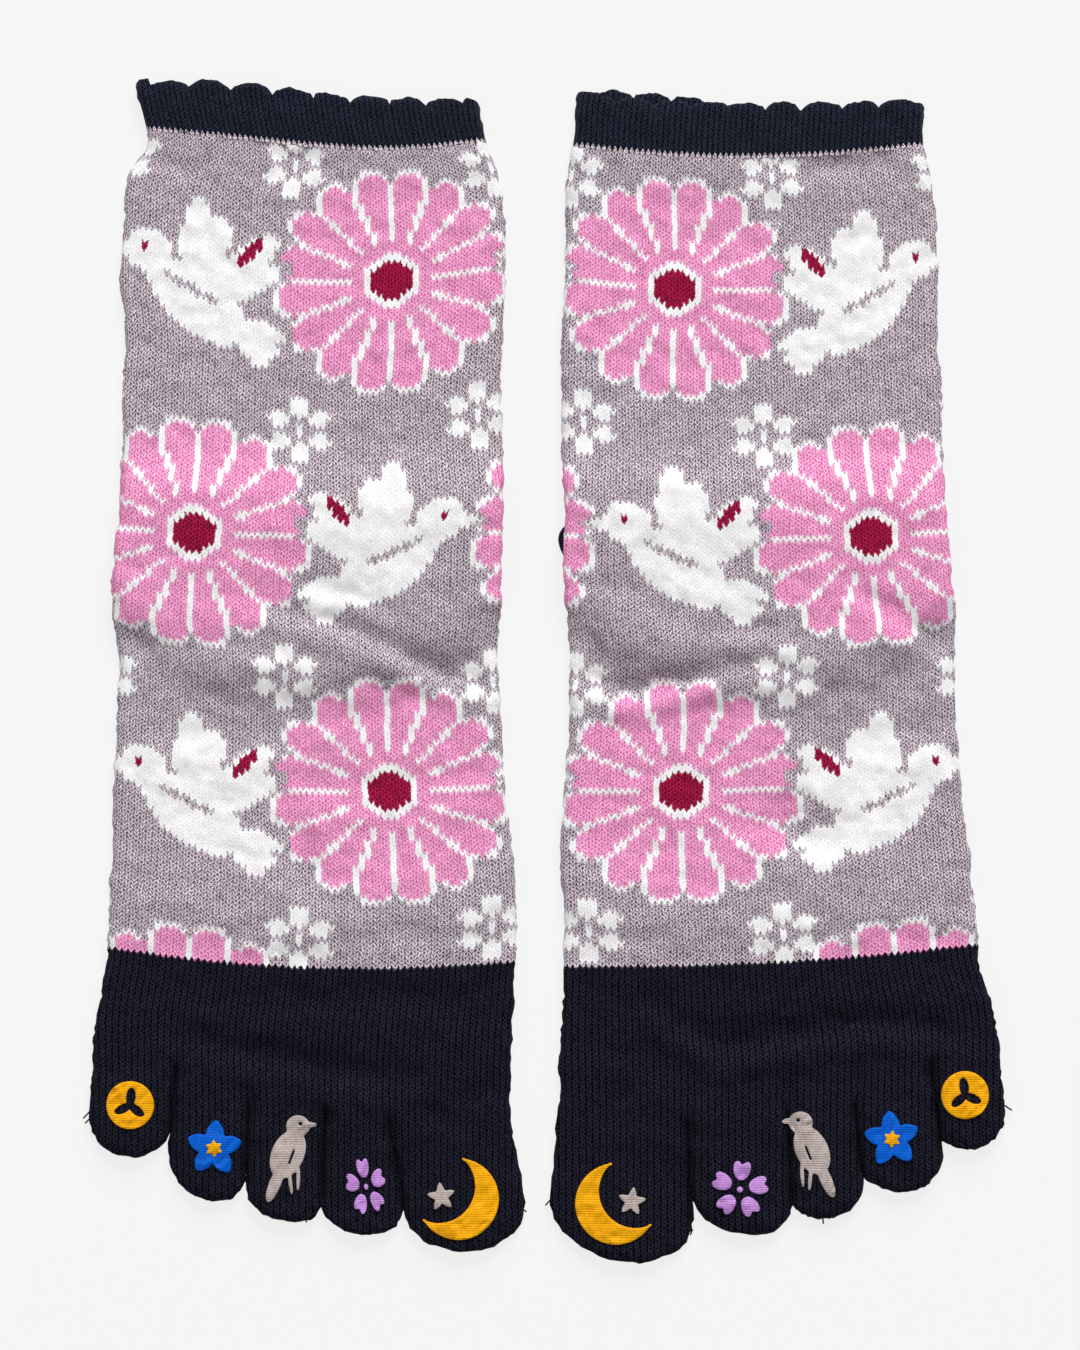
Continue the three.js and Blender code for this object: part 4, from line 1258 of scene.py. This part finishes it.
def knit_material():
    finish = {**KNIT_FINISH, "Sheen Weight": 0.02, "Sheen Roughness": 0.5}
    material, tree, shader = new_material("cotton_jacquard_knit", finish)
    place = add_node(tree, "ShaderNodeUVMap", uv_map="stitches")
    stitch = add_node(tree, "ShaderNodeGroup", {0: place}, node_tree=STITCH)
    pattern = add_node(tree, "ShaderNodeGroup", {0: stitch.outputs["Stitch"]}, node_tree=PATTERN)
    course = add_node(tree, "ShaderNodeSeparateXYZ", {0: stitch.outputs["Stitch"]}).outputs[1]
    navy = add_node(tree, "ShaderNodeMath", {0: course, 1: BODY_COURSES - 0.5}, operation="GREATER_THAN")
    order = (
        ("white", pattern.outputs["White"]),
        ("pink", pattern.outputs["Pink"]),
        ("crimson", pattern.outputs["Crimson"]),
        ("navy", navy.outputs[0]),
    )
    both = []
    for side in (0, 1):
        mixed = colour(YARNS["ground"][side])
        for yarn, share in order:
            mixed = add_node(
                tree,
                "ShaderNodeMix",
                {"Factor": share, 6: mixed, 7: colour(YARNS[yarn][side])},
                data_type="RGBA",
            ).outputs[2]
        both.append(mixed)
    strand = stitch.outputs["Strand"]
    fuzz = add_node(tree, "ShaderNodeTexNoise", {"Vector": place, "Scale": 3.5, "Detail": 3.0})
    frayed = add_node(tree, "ShaderNodeMath", {0: fuzz, 1: 0.9, 2: -0.45}, operation="MULTIPLY_ADD")
    frayed = add_node(tree, "ShaderNodeMath", {0: frayed, 1: strand}, operation="ADD")

    # on the navy, the groove between two columns of stitches is painted as a dark line of shade
    wale = add_node(tree, "ShaderNodeSeparateXYZ", {0: place}).outputs[0]
    middle = add_node(tree, "ShaderNodeMath", {0: wale, 1: 0.5}, operation="PINGPONG")
    groove_shade = add_node(tree, "ShaderNodeMath", {0: middle, 1: 0.45, 2: -0.15}, operation="MULTIPLY_ADD")
    frayed = add_node(tree, "ShaderNodeMath", {0: groove_shade, 1: navy, 2: frayed}, operation="MULTIPLY_ADD")
    # where the strand runs thin, the gap's painted shade takes the place of the strand's colour
    fill = add_node(
        tree, "ShaderNodeMapRange", {0: frayed, 1: 0.35, 2: 1.0}, interpolation_type="SMOOTHSTEP"
    )
    yarn_colour = add_node(
        tree, "ShaderNodeMix", {"Factor": fill, 6: both[1], 7: both[0]}, data_type="RGBA"
    ).outputs[2]

    # each stitch takes the dye a little differently, and the slits between the toes are darkened with
    # painted shade
    number = stitch.outputs["Stitch"]
    random = add_node(tree, "ShaderNodeTexWhiteNoise", {0: number}, noise_dimensions="2D")
    value = add_node(tree, "ShaderNodeMapRange", {0: random, 3: 0.94, 4: 1.05})
    seam = add_node(tree, "ShaderNodeAttribute", {}, attribute_name="seam").outputs["Fac"]
    light = add_node(tree, "ShaderNodeMath", {0: seam, 1: -SLIT_SHADE_STRENGTH, 2: 1.0}, operation="MULTIPLY_ADD")
    value = add_node(tree, "ShaderNodeMath", {0: value, 1: light}, operation="MULTIPLY")
    shaded = add_node(tree, "ShaderNodeVectorMath", {0: yarn_colour, "Scale": value}, operation="SCALE")
    tree.links.new(shaded.outputs[0], shader.inputs["Base Color"])

    # the strands stand up, and loose fibres blur them a little
    smoothness = add_node(
        tree, "ShaderNodeMath", {0: pattern.outputs["White"], 1: -0.6, 2: 1.0}, operation="MULTIPLY_ADD"
    )
    height = add_node(tree, "ShaderNodeMath", {0: strand, 1: smoothness}, operation="MULTIPLY")
    height = add_node(tree, "ShaderNodeMath", {0: fuzz, 1: 0.35, 2: height}, operation="MULTIPLY_ADD")
    bump = add_node(tree, "ShaderNodeBump", {"Strength": 0.7, "Distance": BUMP_DEPTH, "Height": height})
    tree.links.new(bump.outputs[0], shader.inputs["Normal"])
    return material


KNIT = knit_material()
for tube in tubes.values():
    tube.data.materials.append(KNIT)
print(KNIT.name, len(KNIT.node_tree.nodes), "nodes")

# %% [markdown]
# ## The welt's knit
#
# The welt is plain navy knitting, but it is stretched and turned over, so its stitches look
# fuzzier than the leg's, its columns show as soft ribs with painted shade between them, and its roll catches
# a little light.
# Its last stitches meet the first grey ones in short teeth, one to a column.

# %% Material: brushed welt
# the strand's colour, and the gap's colour, which is painted shade
WELT_NAVY = ("#2B3040", "#030408")
TEETH = 1.1  # how long the teeth of ground yarn are, in courses


def welt_material():
    finish = {**KNIT_FINISH, "Sheen Weight": 0.1, "Sheen Roughness": 0.4}
    material, tree, shader = new_material("brushed_cotton_welt", finish)
    place = add_node(tree, "ShaderNodeUVMap", uv_map="stitches")
    strand = add_node(tree, "ShaderNodeGroup", {0: place}, node_tree=STITCH).outputs["Strand"]
    axes = add_node(tree, "ShaderNodeSeparateXYZ", {0: place})
    point = add_node(tree, "ShaderNodeMath", {0: axes.outputs[0], 1: 0.5}, operation="PINGPONG")
    tooth = add_node(
        tree, "ShaderNodeMath", {0: point, 1: 2 * TEETH, 2: axes.outputs[1]}, operation="MULTIPLY_ADD"
    )
    ground = add_node(tree, "ShaderNodeMath", {0: tooth, 1: 0.3}, operation="GREATER_THAN")
    both = [
        add_node(
            tree,
            "ShaderNodeMix",
            {"Factor": ground, 6: colour(WELT_NAVY[side]), 7: colour(YARNS["ground"][side])},
            data_type="RGBA",
        ).outputs[2]
        for side in (0, 1)
    ]
    fuzz = add_node(tree, "ShaderNodeTexNoise", {"Vector": place, "Scale": 2.6, "Detail": 4.0})
    frayed = add_node(tree, "ShaderNodeMath", {0: fuzz, 1: 1.8, 2: -1.1}, operation="MULTIPLY_ADD")
    frayed = add_node(tree, "ShaderNodeMath", {0: frayed, 1: strand}, operation="ADD")
    # painted shade darkens the sides of each column, so the columns show as soft ribs
    frayed = add_node(tree, "ShaderNodeMath", {0: point, 1: 0.8, 2: frayed}, operation="MULTIPLY_ADD")
    fill = add_node(
        tree, "ShaderNodeMapRange", {0: frayed, 1: 0.25, 2: 1.15}, interpolation_type="SMOOTHSTEP"
    )
    yarn_colour = add_node(
        tree, "ShaderNodeMix", {"Factor": fill, 6: both[1], 7: both[0]}, data_type="RGBA"
    ).outputs[2]
    tree.links.new(yarn_colour, shader.inputs["Base Color"])
    height = add_node(tree, "ShaderNodeMath", {0: fuzz, 1: 0.6, 2: strand}, operation="MULTIPLY_ADD")
    bump = add_node(tree, "ShaderNodeBump", {"Strength": 0.5, "Distance": BUMP_DEPTH, "Height": height})
    tree.links.new(bump.outputs[0], shader.inputs["Normal"])
    return material


WELT_KNIT = welt_material()
for cuff in cuffs.values():
    cuff.data.materials.append(WELT_KNIT)
for heel in heels.values():
    heel.data.materials.append(KNIT)
print(WELT_KNIT.name, len(WELT_KNIT.node_tree.nodes), "nodes")

# %% [markdown]
# ## Embroidery
#
# Each toe carries a small motif in satin stitch: glossy thread laid side by side over a little
# padding, about half a millimetre proud of the knit. A motif is drawn with flat primitives that
# are given a thickness, fused by a voxel remesh so that its edge rounds over, and then laid on
# the toe by lowering each point onto the cloth below it.

# %% Helpers for the motifs
THREAD_PAD = 0.9 * MM
THREAD_SUNK = 0.35 * MM
VOXEL = 0.26 * MM
ABOVE_ALL = 0.05  # the height, in metres, from which points are lowered onto the cloth


def flat_shape(outline):
    """A slab with the given outline, in millimetres, as thick as the padding."""
    bpy.ops.object.select_all(action="DESELECT")
    bpy.ops.mesh.primitive_circle_add(vertices=len(outline), radius=MM, fill_type="NGON")
    slab = bpy.context.object
    for vertex, (x, y) in zip(slab.data.vertices, outline):
        vertex.co = (x * MM, y * MM, 0)
    bpy.ops.object.mode_set(mode="EDIT")
    bpy.ops.mesh.select_all(action="SELECT")
    bpy.ops.mesh.extrude_region_move(TRANSFORM_OT_translate={"value": (0, 0, THREAD_PAD)})
    bpy.ops.mesh.select_all(action="SELECT")
    bpy.ops.mesh.normals_make_consistent(inside=False)
    bpy.ops.object.mode_set(mode="OBJECT")
    return slab


def ring_outline(radius_at, steps=64):
    """An outline from a radius for each angle, as a flower or a disc has."""
    angles = [math.tau * i / steps for i in range(steps)]
    return [(radius_at(a) * math.cos(a), radius_at(a) * math.sin(a)) for a in angles]


def oval(x, y, half_length, half_width, turn=0.0, steps=40):
    """An oval outline about x, y, turned by some degrees."""
    c, s = math.cos(math.radians(turn)), math.sin(math.radians(turn))
    places = []
    for i in range(steps):
        a = math.tau * i / steps
        along, across = half_length * math.cos(a), half_width * math.sin(a)
        places.append((x + along * c - across * s, y + along * s + across * c))
    return places


def carve(thing, cutter):
    """Cut one slab out of another."""
    cutter.location.z = -THREAD_PAD / 2
    cutter.scale.z = 2
    select_only(cutter)
    bpy.ops.object.transform_apply(location=True, rotation=False, scale=True)
    apply_modifier(thing, "BOOLEAN", operation="DIFFERENCE", object=cutter, solver="EXACT")
    bpy.data.objects.remove(cutter)


def lay_on(cloth, parts, name, centre, turn, material, mirrored, width=1.0):
    """Fuse the parts, round their edges, move them to their place and lower them on the cloth."""
    select_only(*parts)
    if len(parts) > 1:
        bpy.ops.object.join()
    motif = bpy.context.object
    motif.name = name
    motif.data.name = name
    motif.scale.x = -width if mirrored else width
    bpy.ops.object.transform_apply(location=False, rotation=False, scale=True)
    apply_modifier(motif, "REMESH", mode="VOXEL", voxel_size=VOXEL)
    apply_modifier(motif, "SMOOTH", factor=0.5, iterations=3)
    select_only(motif)
    motif.rotation_euler.z = math.radians(turn)
    motif.location = (centre[0] * MM, centre[1] * MM, 0)
    bpy.ops.object.transform_apply(location=True, rotation=True, scale=True)
    tree = BVHTree.FromPolygons(
        [v.co for v in cloth.data.vertices], [p.vertices for p in cloth.data.polygons]
    )
    down = Vector((0, 0, -1))
    for vertex in motif.data.vertices:
        hit = tree.ray_cast(Vector((vertex.co.x, vertex.co.y, ABOVE_ALL)), down)[0]
        surface = hit.z if hit else BODY_HEIGHT * MM
        vertex.co.z += surface - THREAD_SUNK
    smooth_faces(motif, 70)
    motif.data.materials.clear()
    motif.data.materials.append(material)
    return motif


# %% [markdown]
# ## Satin-stitch thread
#
# Embroidery thread is spun from rayon: smooth, bright and glossy, laid in close parallel
# runs. Each run is a low ridge, and the light that slides along it makes the motif shimmer.
# The colour adds painted shade: lighter on each ridge's crest, darker between runs and at the needle points.
# The real thread is 0.4 mm apart; it is drawn at 0.6 mm, which still shows in the render.

# %% Material: embroidery thread
THREAD_SPACING = 0.6 * MM
NEEDLE_STEP = 1.4 * MM


def thread_material(name, light, dark):
    material, tree, shader = new_material(name, {"Roughness": 0.55, "Specular IOR Level": 0.1})
    place = add_node(tree, "ShaderNodeTexCoord").outputs["Object"]
    axes = add_node(tree, "ShaderNodeSeparateXYZ", {0: place})
    wobble = add_node(tree, "ShaderNodeTexNoise", {"Vector": place, "Scale": 400.0, "Detail": 1.0})
    run = add_node(
        tree, "ShaderNodeMath", {0: axes.outputs[1], 1: 1 / THREAD_SPACING}, operation="MULTIPLY"
    )
    run = add_node(tree, "ShaderNodeMath", {0: wobble, 1: 0.5, 2: run}, operation="MULTIPLY_ADD")
    number = add_node(tree, "ShaderNodeMath", {0: run}, operation="FLOOR")
    across = add_node(tree, "ShaderNodeMath", {0: run}, operation="FRACT")
    across = add_node(tree, "ShaderNodeMath", {0: across, 1: math.pi}, operation="MULTIPLY")
    ridge = add_node(tree, "ShaderNodeMath", {0: across}, operation="SINE")
    random = add_node(tree, "ShaderNodeTexWhiteNoise", {"W": number}, noise_dimensions="1D")
    # each run has a tone of its own at random, and painted shade on top: light on the crest, dark at the
    # sides
    shade = add_node(tree, "ShaderNodeMath", {0: random, 1: 0.25, 2: 0.1}, operation="MULTIPLY_ADD")
    shade = add_node(tree, "ShaderNodeMath", {0: ridge, 1: 0.7, 2: shade}, operation="MULTIPLY_ADD")
    # the needle goes in every 1.4 mm along a run, at another place in each run, and each needle point is
    # darkened with painted shade
    needle = add_node(
        tree,
        "ShaderNodeMath",
        {0: axes.outputs[0], 1: 1 / NEEDLE_STEP, 2: random},
        operation="MULTIPLY_ADD",
    )
    needle = add_node(tree, "ShaderNodeMath", {0: needle, 1: 0.5}, operation="PINGPONG")
    needle = add_node(tree, "ShaderNodeMapRange", {0: needle, 1: 0.0, 2: 0.12, 3: 0.45, 4: 1.0})
    shade = add_node(tree, "ShaderNodeMath", {0: shade, 1: needle}, operation="MULTIPLY")
    mixed = add_node(
        tree, "ShaderNodeMix", {"Factor": shade, 6: colour(dark), 7: colour(light)}, data_type="RGBA"
    ).outputs[2]
    tree.links.new(mixed, shader.inputs["Base Color"])
    bump = add_node(tree, "ShaderNodeBump", {"Strength": 0.5, "Distance": 0.12 * MM, "Height": ridge})
    tree.links.new(bump.outputs[0], shader.inputs["Normal"])
    return material


# each thread's own colour, and a darker copy of it for the painted shade
GOLD = thread_material("gold_satin_thread", "#FFB80A", "#D08503")
BLUE = thread_material("blue_satin_thread", "#0066DC", "#0047A6")
GREY = thread_material("grey_satin_thread", "#C4B7B3", "#93857F")
LILAC = thread_material("lilac_satin_thread", "#CF9BE2", "#9F66B6")
print("threads", [thread.name for thread in (GOLD, BLUE, GREY, LILAC)])

# %% Shapes of the motifs


def star_radius(points, outer, inner, sharpness=1.0):
    """Radius at each angle of a star: full sides below sharpness 1, hollow sides above it."""

    def radius(angle):
        from_tip = abs((points * (angle - math.pi / 2) / math.pi + 1) % 2 - 1)
        return inner + (outer - inner) * (1 - from_tip) ** sharpness

    return radius


def leaf_marks():
    """Three small leaves that are left open in the gold disc."""
    leaves = ((0, 2.0, 2.4, 1.15, 90), (-1.7, -1.1, 2.3, 1.1, 212), (1.7, -1.1, 2.3, 1.1, -32))
    return [oval(*leaf) for leaf in leaves]


def disc_parts():
    disc = flat_shape(ring_outline(lambda a: 6.0))
    for outline in leaf_marks():
        carve(disc, flat_shape(outline))
    return [disc]


def star_flower_parts():
    return [flat_shape(ring_outline(star_radius(5, 7.2, 3.6, 0.8), 90))]


def star_centre_parts():
    return [flat_shape(ring_outline(star_radius(6, 2.3, 1.2), 48))]


def bird_parts():
    """A small standing bird seen from the side: body, head, beak, tail and two legs."""
    ovals = (
        (0.0, -0.2, 6.4, 4.1, 62),
        (3.0, 6.6, 3.0, 2.8, 0),
        (6.0, 6.8, 1.8, 0.7, -8),
        (-3.7, -7.3, 5.0, 1.5, 64),
        (0.2, -7.4, 3.0, 0.5, 92),
        (2.2, -6.4, 3.2, 0.5, 84),
    )
    body = flat_shape(oval(*ovals[0]))
    carve(body, flat_shape(oval(0.9, -0.9, 3.9, 0.28, 66)))
    head = flat_shape(oval(*ovals[1]))
    carve(head, flat_shape(oval(3.7, 7.2, 0.5, 0.5)))
    return [body, head] + [flat_shape(oval(*row)) for row in ovals[2:]]


def blossom_parts():
    """Five separate petals, each of two ovals side by side, round a small knot of thread."""
    from_middle, to_side, spread = 4.7, 0.8, 16
    petals = []
    for i in range(5):
        angle = math.radians(90 + 72 * i)
        across = angle + math.pi / 2
        for side in (-1, 1):
            x = from_middle * math.cos(angle) + side * to_side * math.cos(across)
            y = from_middle * math.sin(angle) + side * to_side * math.sin(across)
            petals.append(oval(x, y, 2.45, 1.3, math.degrees(angle) + side * spread))
    return [flat_shape(outline) for outline in petals] + [flat_shape(oval(0, 0, 0.8, 0.8))]


def crescent_parts():
    """A disc with a second disc cut out of it, and a round end on each horn."""
    moon = flat_shape(ring_outline(lambda a: 10.2, 96))
    shadow = [(x - 5.0, y + 3.2) for x, y in ring_outline(lambda a: 9.2, 96)]
    carve(moon, flat_shape(shadow))
    horns = [oval(1.45, 9.93, 0.7, 0.35, -29), oval(-8.38, -5.48, 0.7, 0.35, -36)]
    return [moon] + [flat_shape(outline) for outline in horns]


def small_star_parts():
    return [flat_shape(ring_outline(star_radius(5, 3.7, 1.6, 1.2), 60))]


# %% Sew the motifs on
# piece, parts, thread, and its centre and turn on the left and on the right sock; the left
# blossom is half turned under, so it shows narrower
MOTIFS = (
    ("disc", disc_parts, GOLD, (-104.2, -108.5, -6), (104.5, -106.0, 8)),
    ("star_flower", star_flower_parts, BLUE, (-83.2, -119.3, -4), (86.2, -117.0, 6)),
    ("bird", bird_parts, GREY, (-64.8, -120.6, 4), (66.2, -119.6, -2)),
    ("blossom", blossom_parts, LILAC, (-45.2, -128.9, 10, 0.7), (48.2, -129.6, -6)),
    ("crescent", crescent_parts, GOLD, (-22.2, -132.0, 0), (17.2, -133.2, 0)),
)
LOOSE_MOTIFS = (
    ("star_centre", star_centre_parts, GOLD, (-83.2, -119.3, 4), (86.2, -117.0, -4)),
    ("small_star", small_star_parts, GREY, (-26.4, -131.4, 8), (21.2, -132.6, -8)),
)
CENTRE_LIFT = 0.3 * MM  # the star flower's centre is sewn over its petals
motifs = {"left": [], "right": []}
for column, side in ((3, "left"), (4, "right")):
    for row in MOTIFS + LOOSE_MOTIFS:
        x, y, turn, *width = row[column]
        name = f"{side}_{row[0]}"
        motif = lay_on(tubes[side], row[1](), name, (x, y), turn, row[2], side == "right", *width)
        if row[0] == "star_centre":
            motif.data.transform(Matrix.Translation((0, 0, CENTRE_LIFT)))
        motifs[side].append(motif)
print("motifs", [len(m.data.polygons) for side in motifs.values() for m in side])

# %% [markdown]
# ## Yarn tails
#
# Where a toe pocket is closed the yarn is cut, and a millimetre or two of it sticks out. These
# tails are tiny, but they are what tells the eye that the toes were knitted one by one.

# %% Make the yarn tails
TAIL_RADIUS = 0.2 * MM
# heights, in millimetres
TAIL_START = 2.0
TAIL_END = 1.0
# start x and y, end x and y, in millimetres
TAILS = {
    "left": (
        (-114.2, -110.0, -116.1, -112.0),
        (-114.0, -111.6, -115.6, -113.2),
        (-60.9, -136.4, -60.2, -138.0),
        (-6.6, -134.4, -5.2, -135.4),
    ),
    "right": (
        (114.3, -108.6, 116.4, -110.0),
        (69.0, -136.6, 69.2, -138.4),
        (1.2, -132.0, -0.4, -133.8),
        (36.4, -139.8, 35.9, -141.2),
    ),
}
tails = {}
for side, rows in TAILS.items():
    parts = []
    for start_x, start_y, end_x, end_y in rows:
        curve = bpy.data.curves.new("tail", "CURVE")
        curve.dimensions = "3D"
        curve.bevel_depth = TAIL_RADIUS
        curve.bevel_resolution = 1
        curve.use_fill_caps = True
        spline = curve.splines.new("BEZIER")
        spline.bezier_points.add(1)
        ends = ((start_x, start_y, TAIL_START), (end_x, end_y, TAIL_END))
        for point, (x, y, z) in zip(spline.bezier_points, ends):
            point.co = (x * MM, y * MM, z * MM)
            point.handle_left_type = point.handle_right_type = "AUTO"
        part = bpy.data.objects.new("tail", curve)
        bpy.context.scene.collection.objects.link(part)
        parts.append(part)
    select_only(*parts)
    bpy.ops.object.convert(target="MESH")
    bpy.ops.object.join()
    tails[side] = bpy.context.object
    tails[side].name = f"{side}_yarn_tails"
    print(tails[side].name, len(tails[side].data.polygons), "faces")

# %% Material: loose yarn


def yarn_material():
    material, tree, shader = new_material("navy_cotton_yarn", {"Roughness": 0.9})
    place = add_node(tree, "ShaderNodeTexCoord").outputs["Object"]
    noise = add_node(tree, "ShaderNodeTexNoise", {"Vector": place, "Scale": 3000.0})
    mixed = add_node(
        tree,
        "ShaderNodeMix",
        {"Factor": noise, 6: colour(YARNS["navy"][1]), 7: colour(YARNS["navy"][0])},
        data_type="RGBA",
    ).outputs[2]
    tree.links.new(mixed, shader.inputs["Base Color"])
    return material


YARN = yarn_material()
for tail in tails.values():
    tail.data.materials.append(YARN)
print(YARN.name, len(YARN.node_tree.nodes), "nodes")

# %% [markdown]
# ## What rides where
#
# Nothing moves on a sock that lies flat, so all the modelled pieces ride on the one body,
# and the solids that they stand for are hidden.

# %% Frame calls
for sock in SOCKS:
    side = sock["name"]
    pieces = [tubes[side], cuffs[side], heels[side], tails[side], *motifs[side]]
    for piece in pieces:
        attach(piece, "root")
    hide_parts(f"{side}_leg_foot", f"{side}_toe_section")
    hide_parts(f"{side}_cuff")
    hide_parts(f"{side}_heel")
    print(side, len(pieces), "pieces")

# %% [markdown]
# ## Table and light
#
# The table is a plain, nearly white board. One very large soft light hangs over the cuffs, so
# that the creases shade gently towards the toes, and a weaker one fills from the left.

# %% Floor, lights and world
FLOOR_DEPTH = 0.02 * MM
BOARD = {
    "Base Color": colour("#5E5E5E"),
    "Emission Color": (1, 1, 1, 1),
    "Emission Strength": 0.805,
    "Specular IOR Level": 0.1,
    "Roughness": 0.9,
}
SKY_STRENGTH = 0.24
bpy.ops.object.select_all(action="DESELECT")
bpy.ops.mesh.primitive_plane_add(size=4, location=(0, 0, -FLOOR_DEPTH))
floor = bpy.context.object
floor.name = "floor"
floor.data.materials.append(new_material("white_board", BOARD)[0])

# location, size and power of each soft light
LIGHTS = (
    ((0.6, 3.0, 2.2), 2.2, 179),
    ((-1.6, -1.4, 2.0), 1.6, 14),
)
for location, size, power in LIGHTS:
    bpy.ops.object.light_add(type="AREA", location=location)
    light = bpy.context.object
    light.data.size = size
    light.data.energy = power
    way = Vector((0, 0, 0)) - Vector(location)
    light.rotation_euler = way.to_track_quat("-Z", "Y").to_euler()

world = bpy.data.worlds.new("studio")
world.use_nodes = True
sky = world.node_tree.nodes["Background"]
sky.inputs["Color"].default_value = (1, 1, 1, 1)
sky.inputs["Strength"].default_value = SKY_STRENGTH
bpy.context.scene.world = world
bpy.context.scene.view_settings.view_transform = "Standard"
print("soft lights", len(LIGHTS))
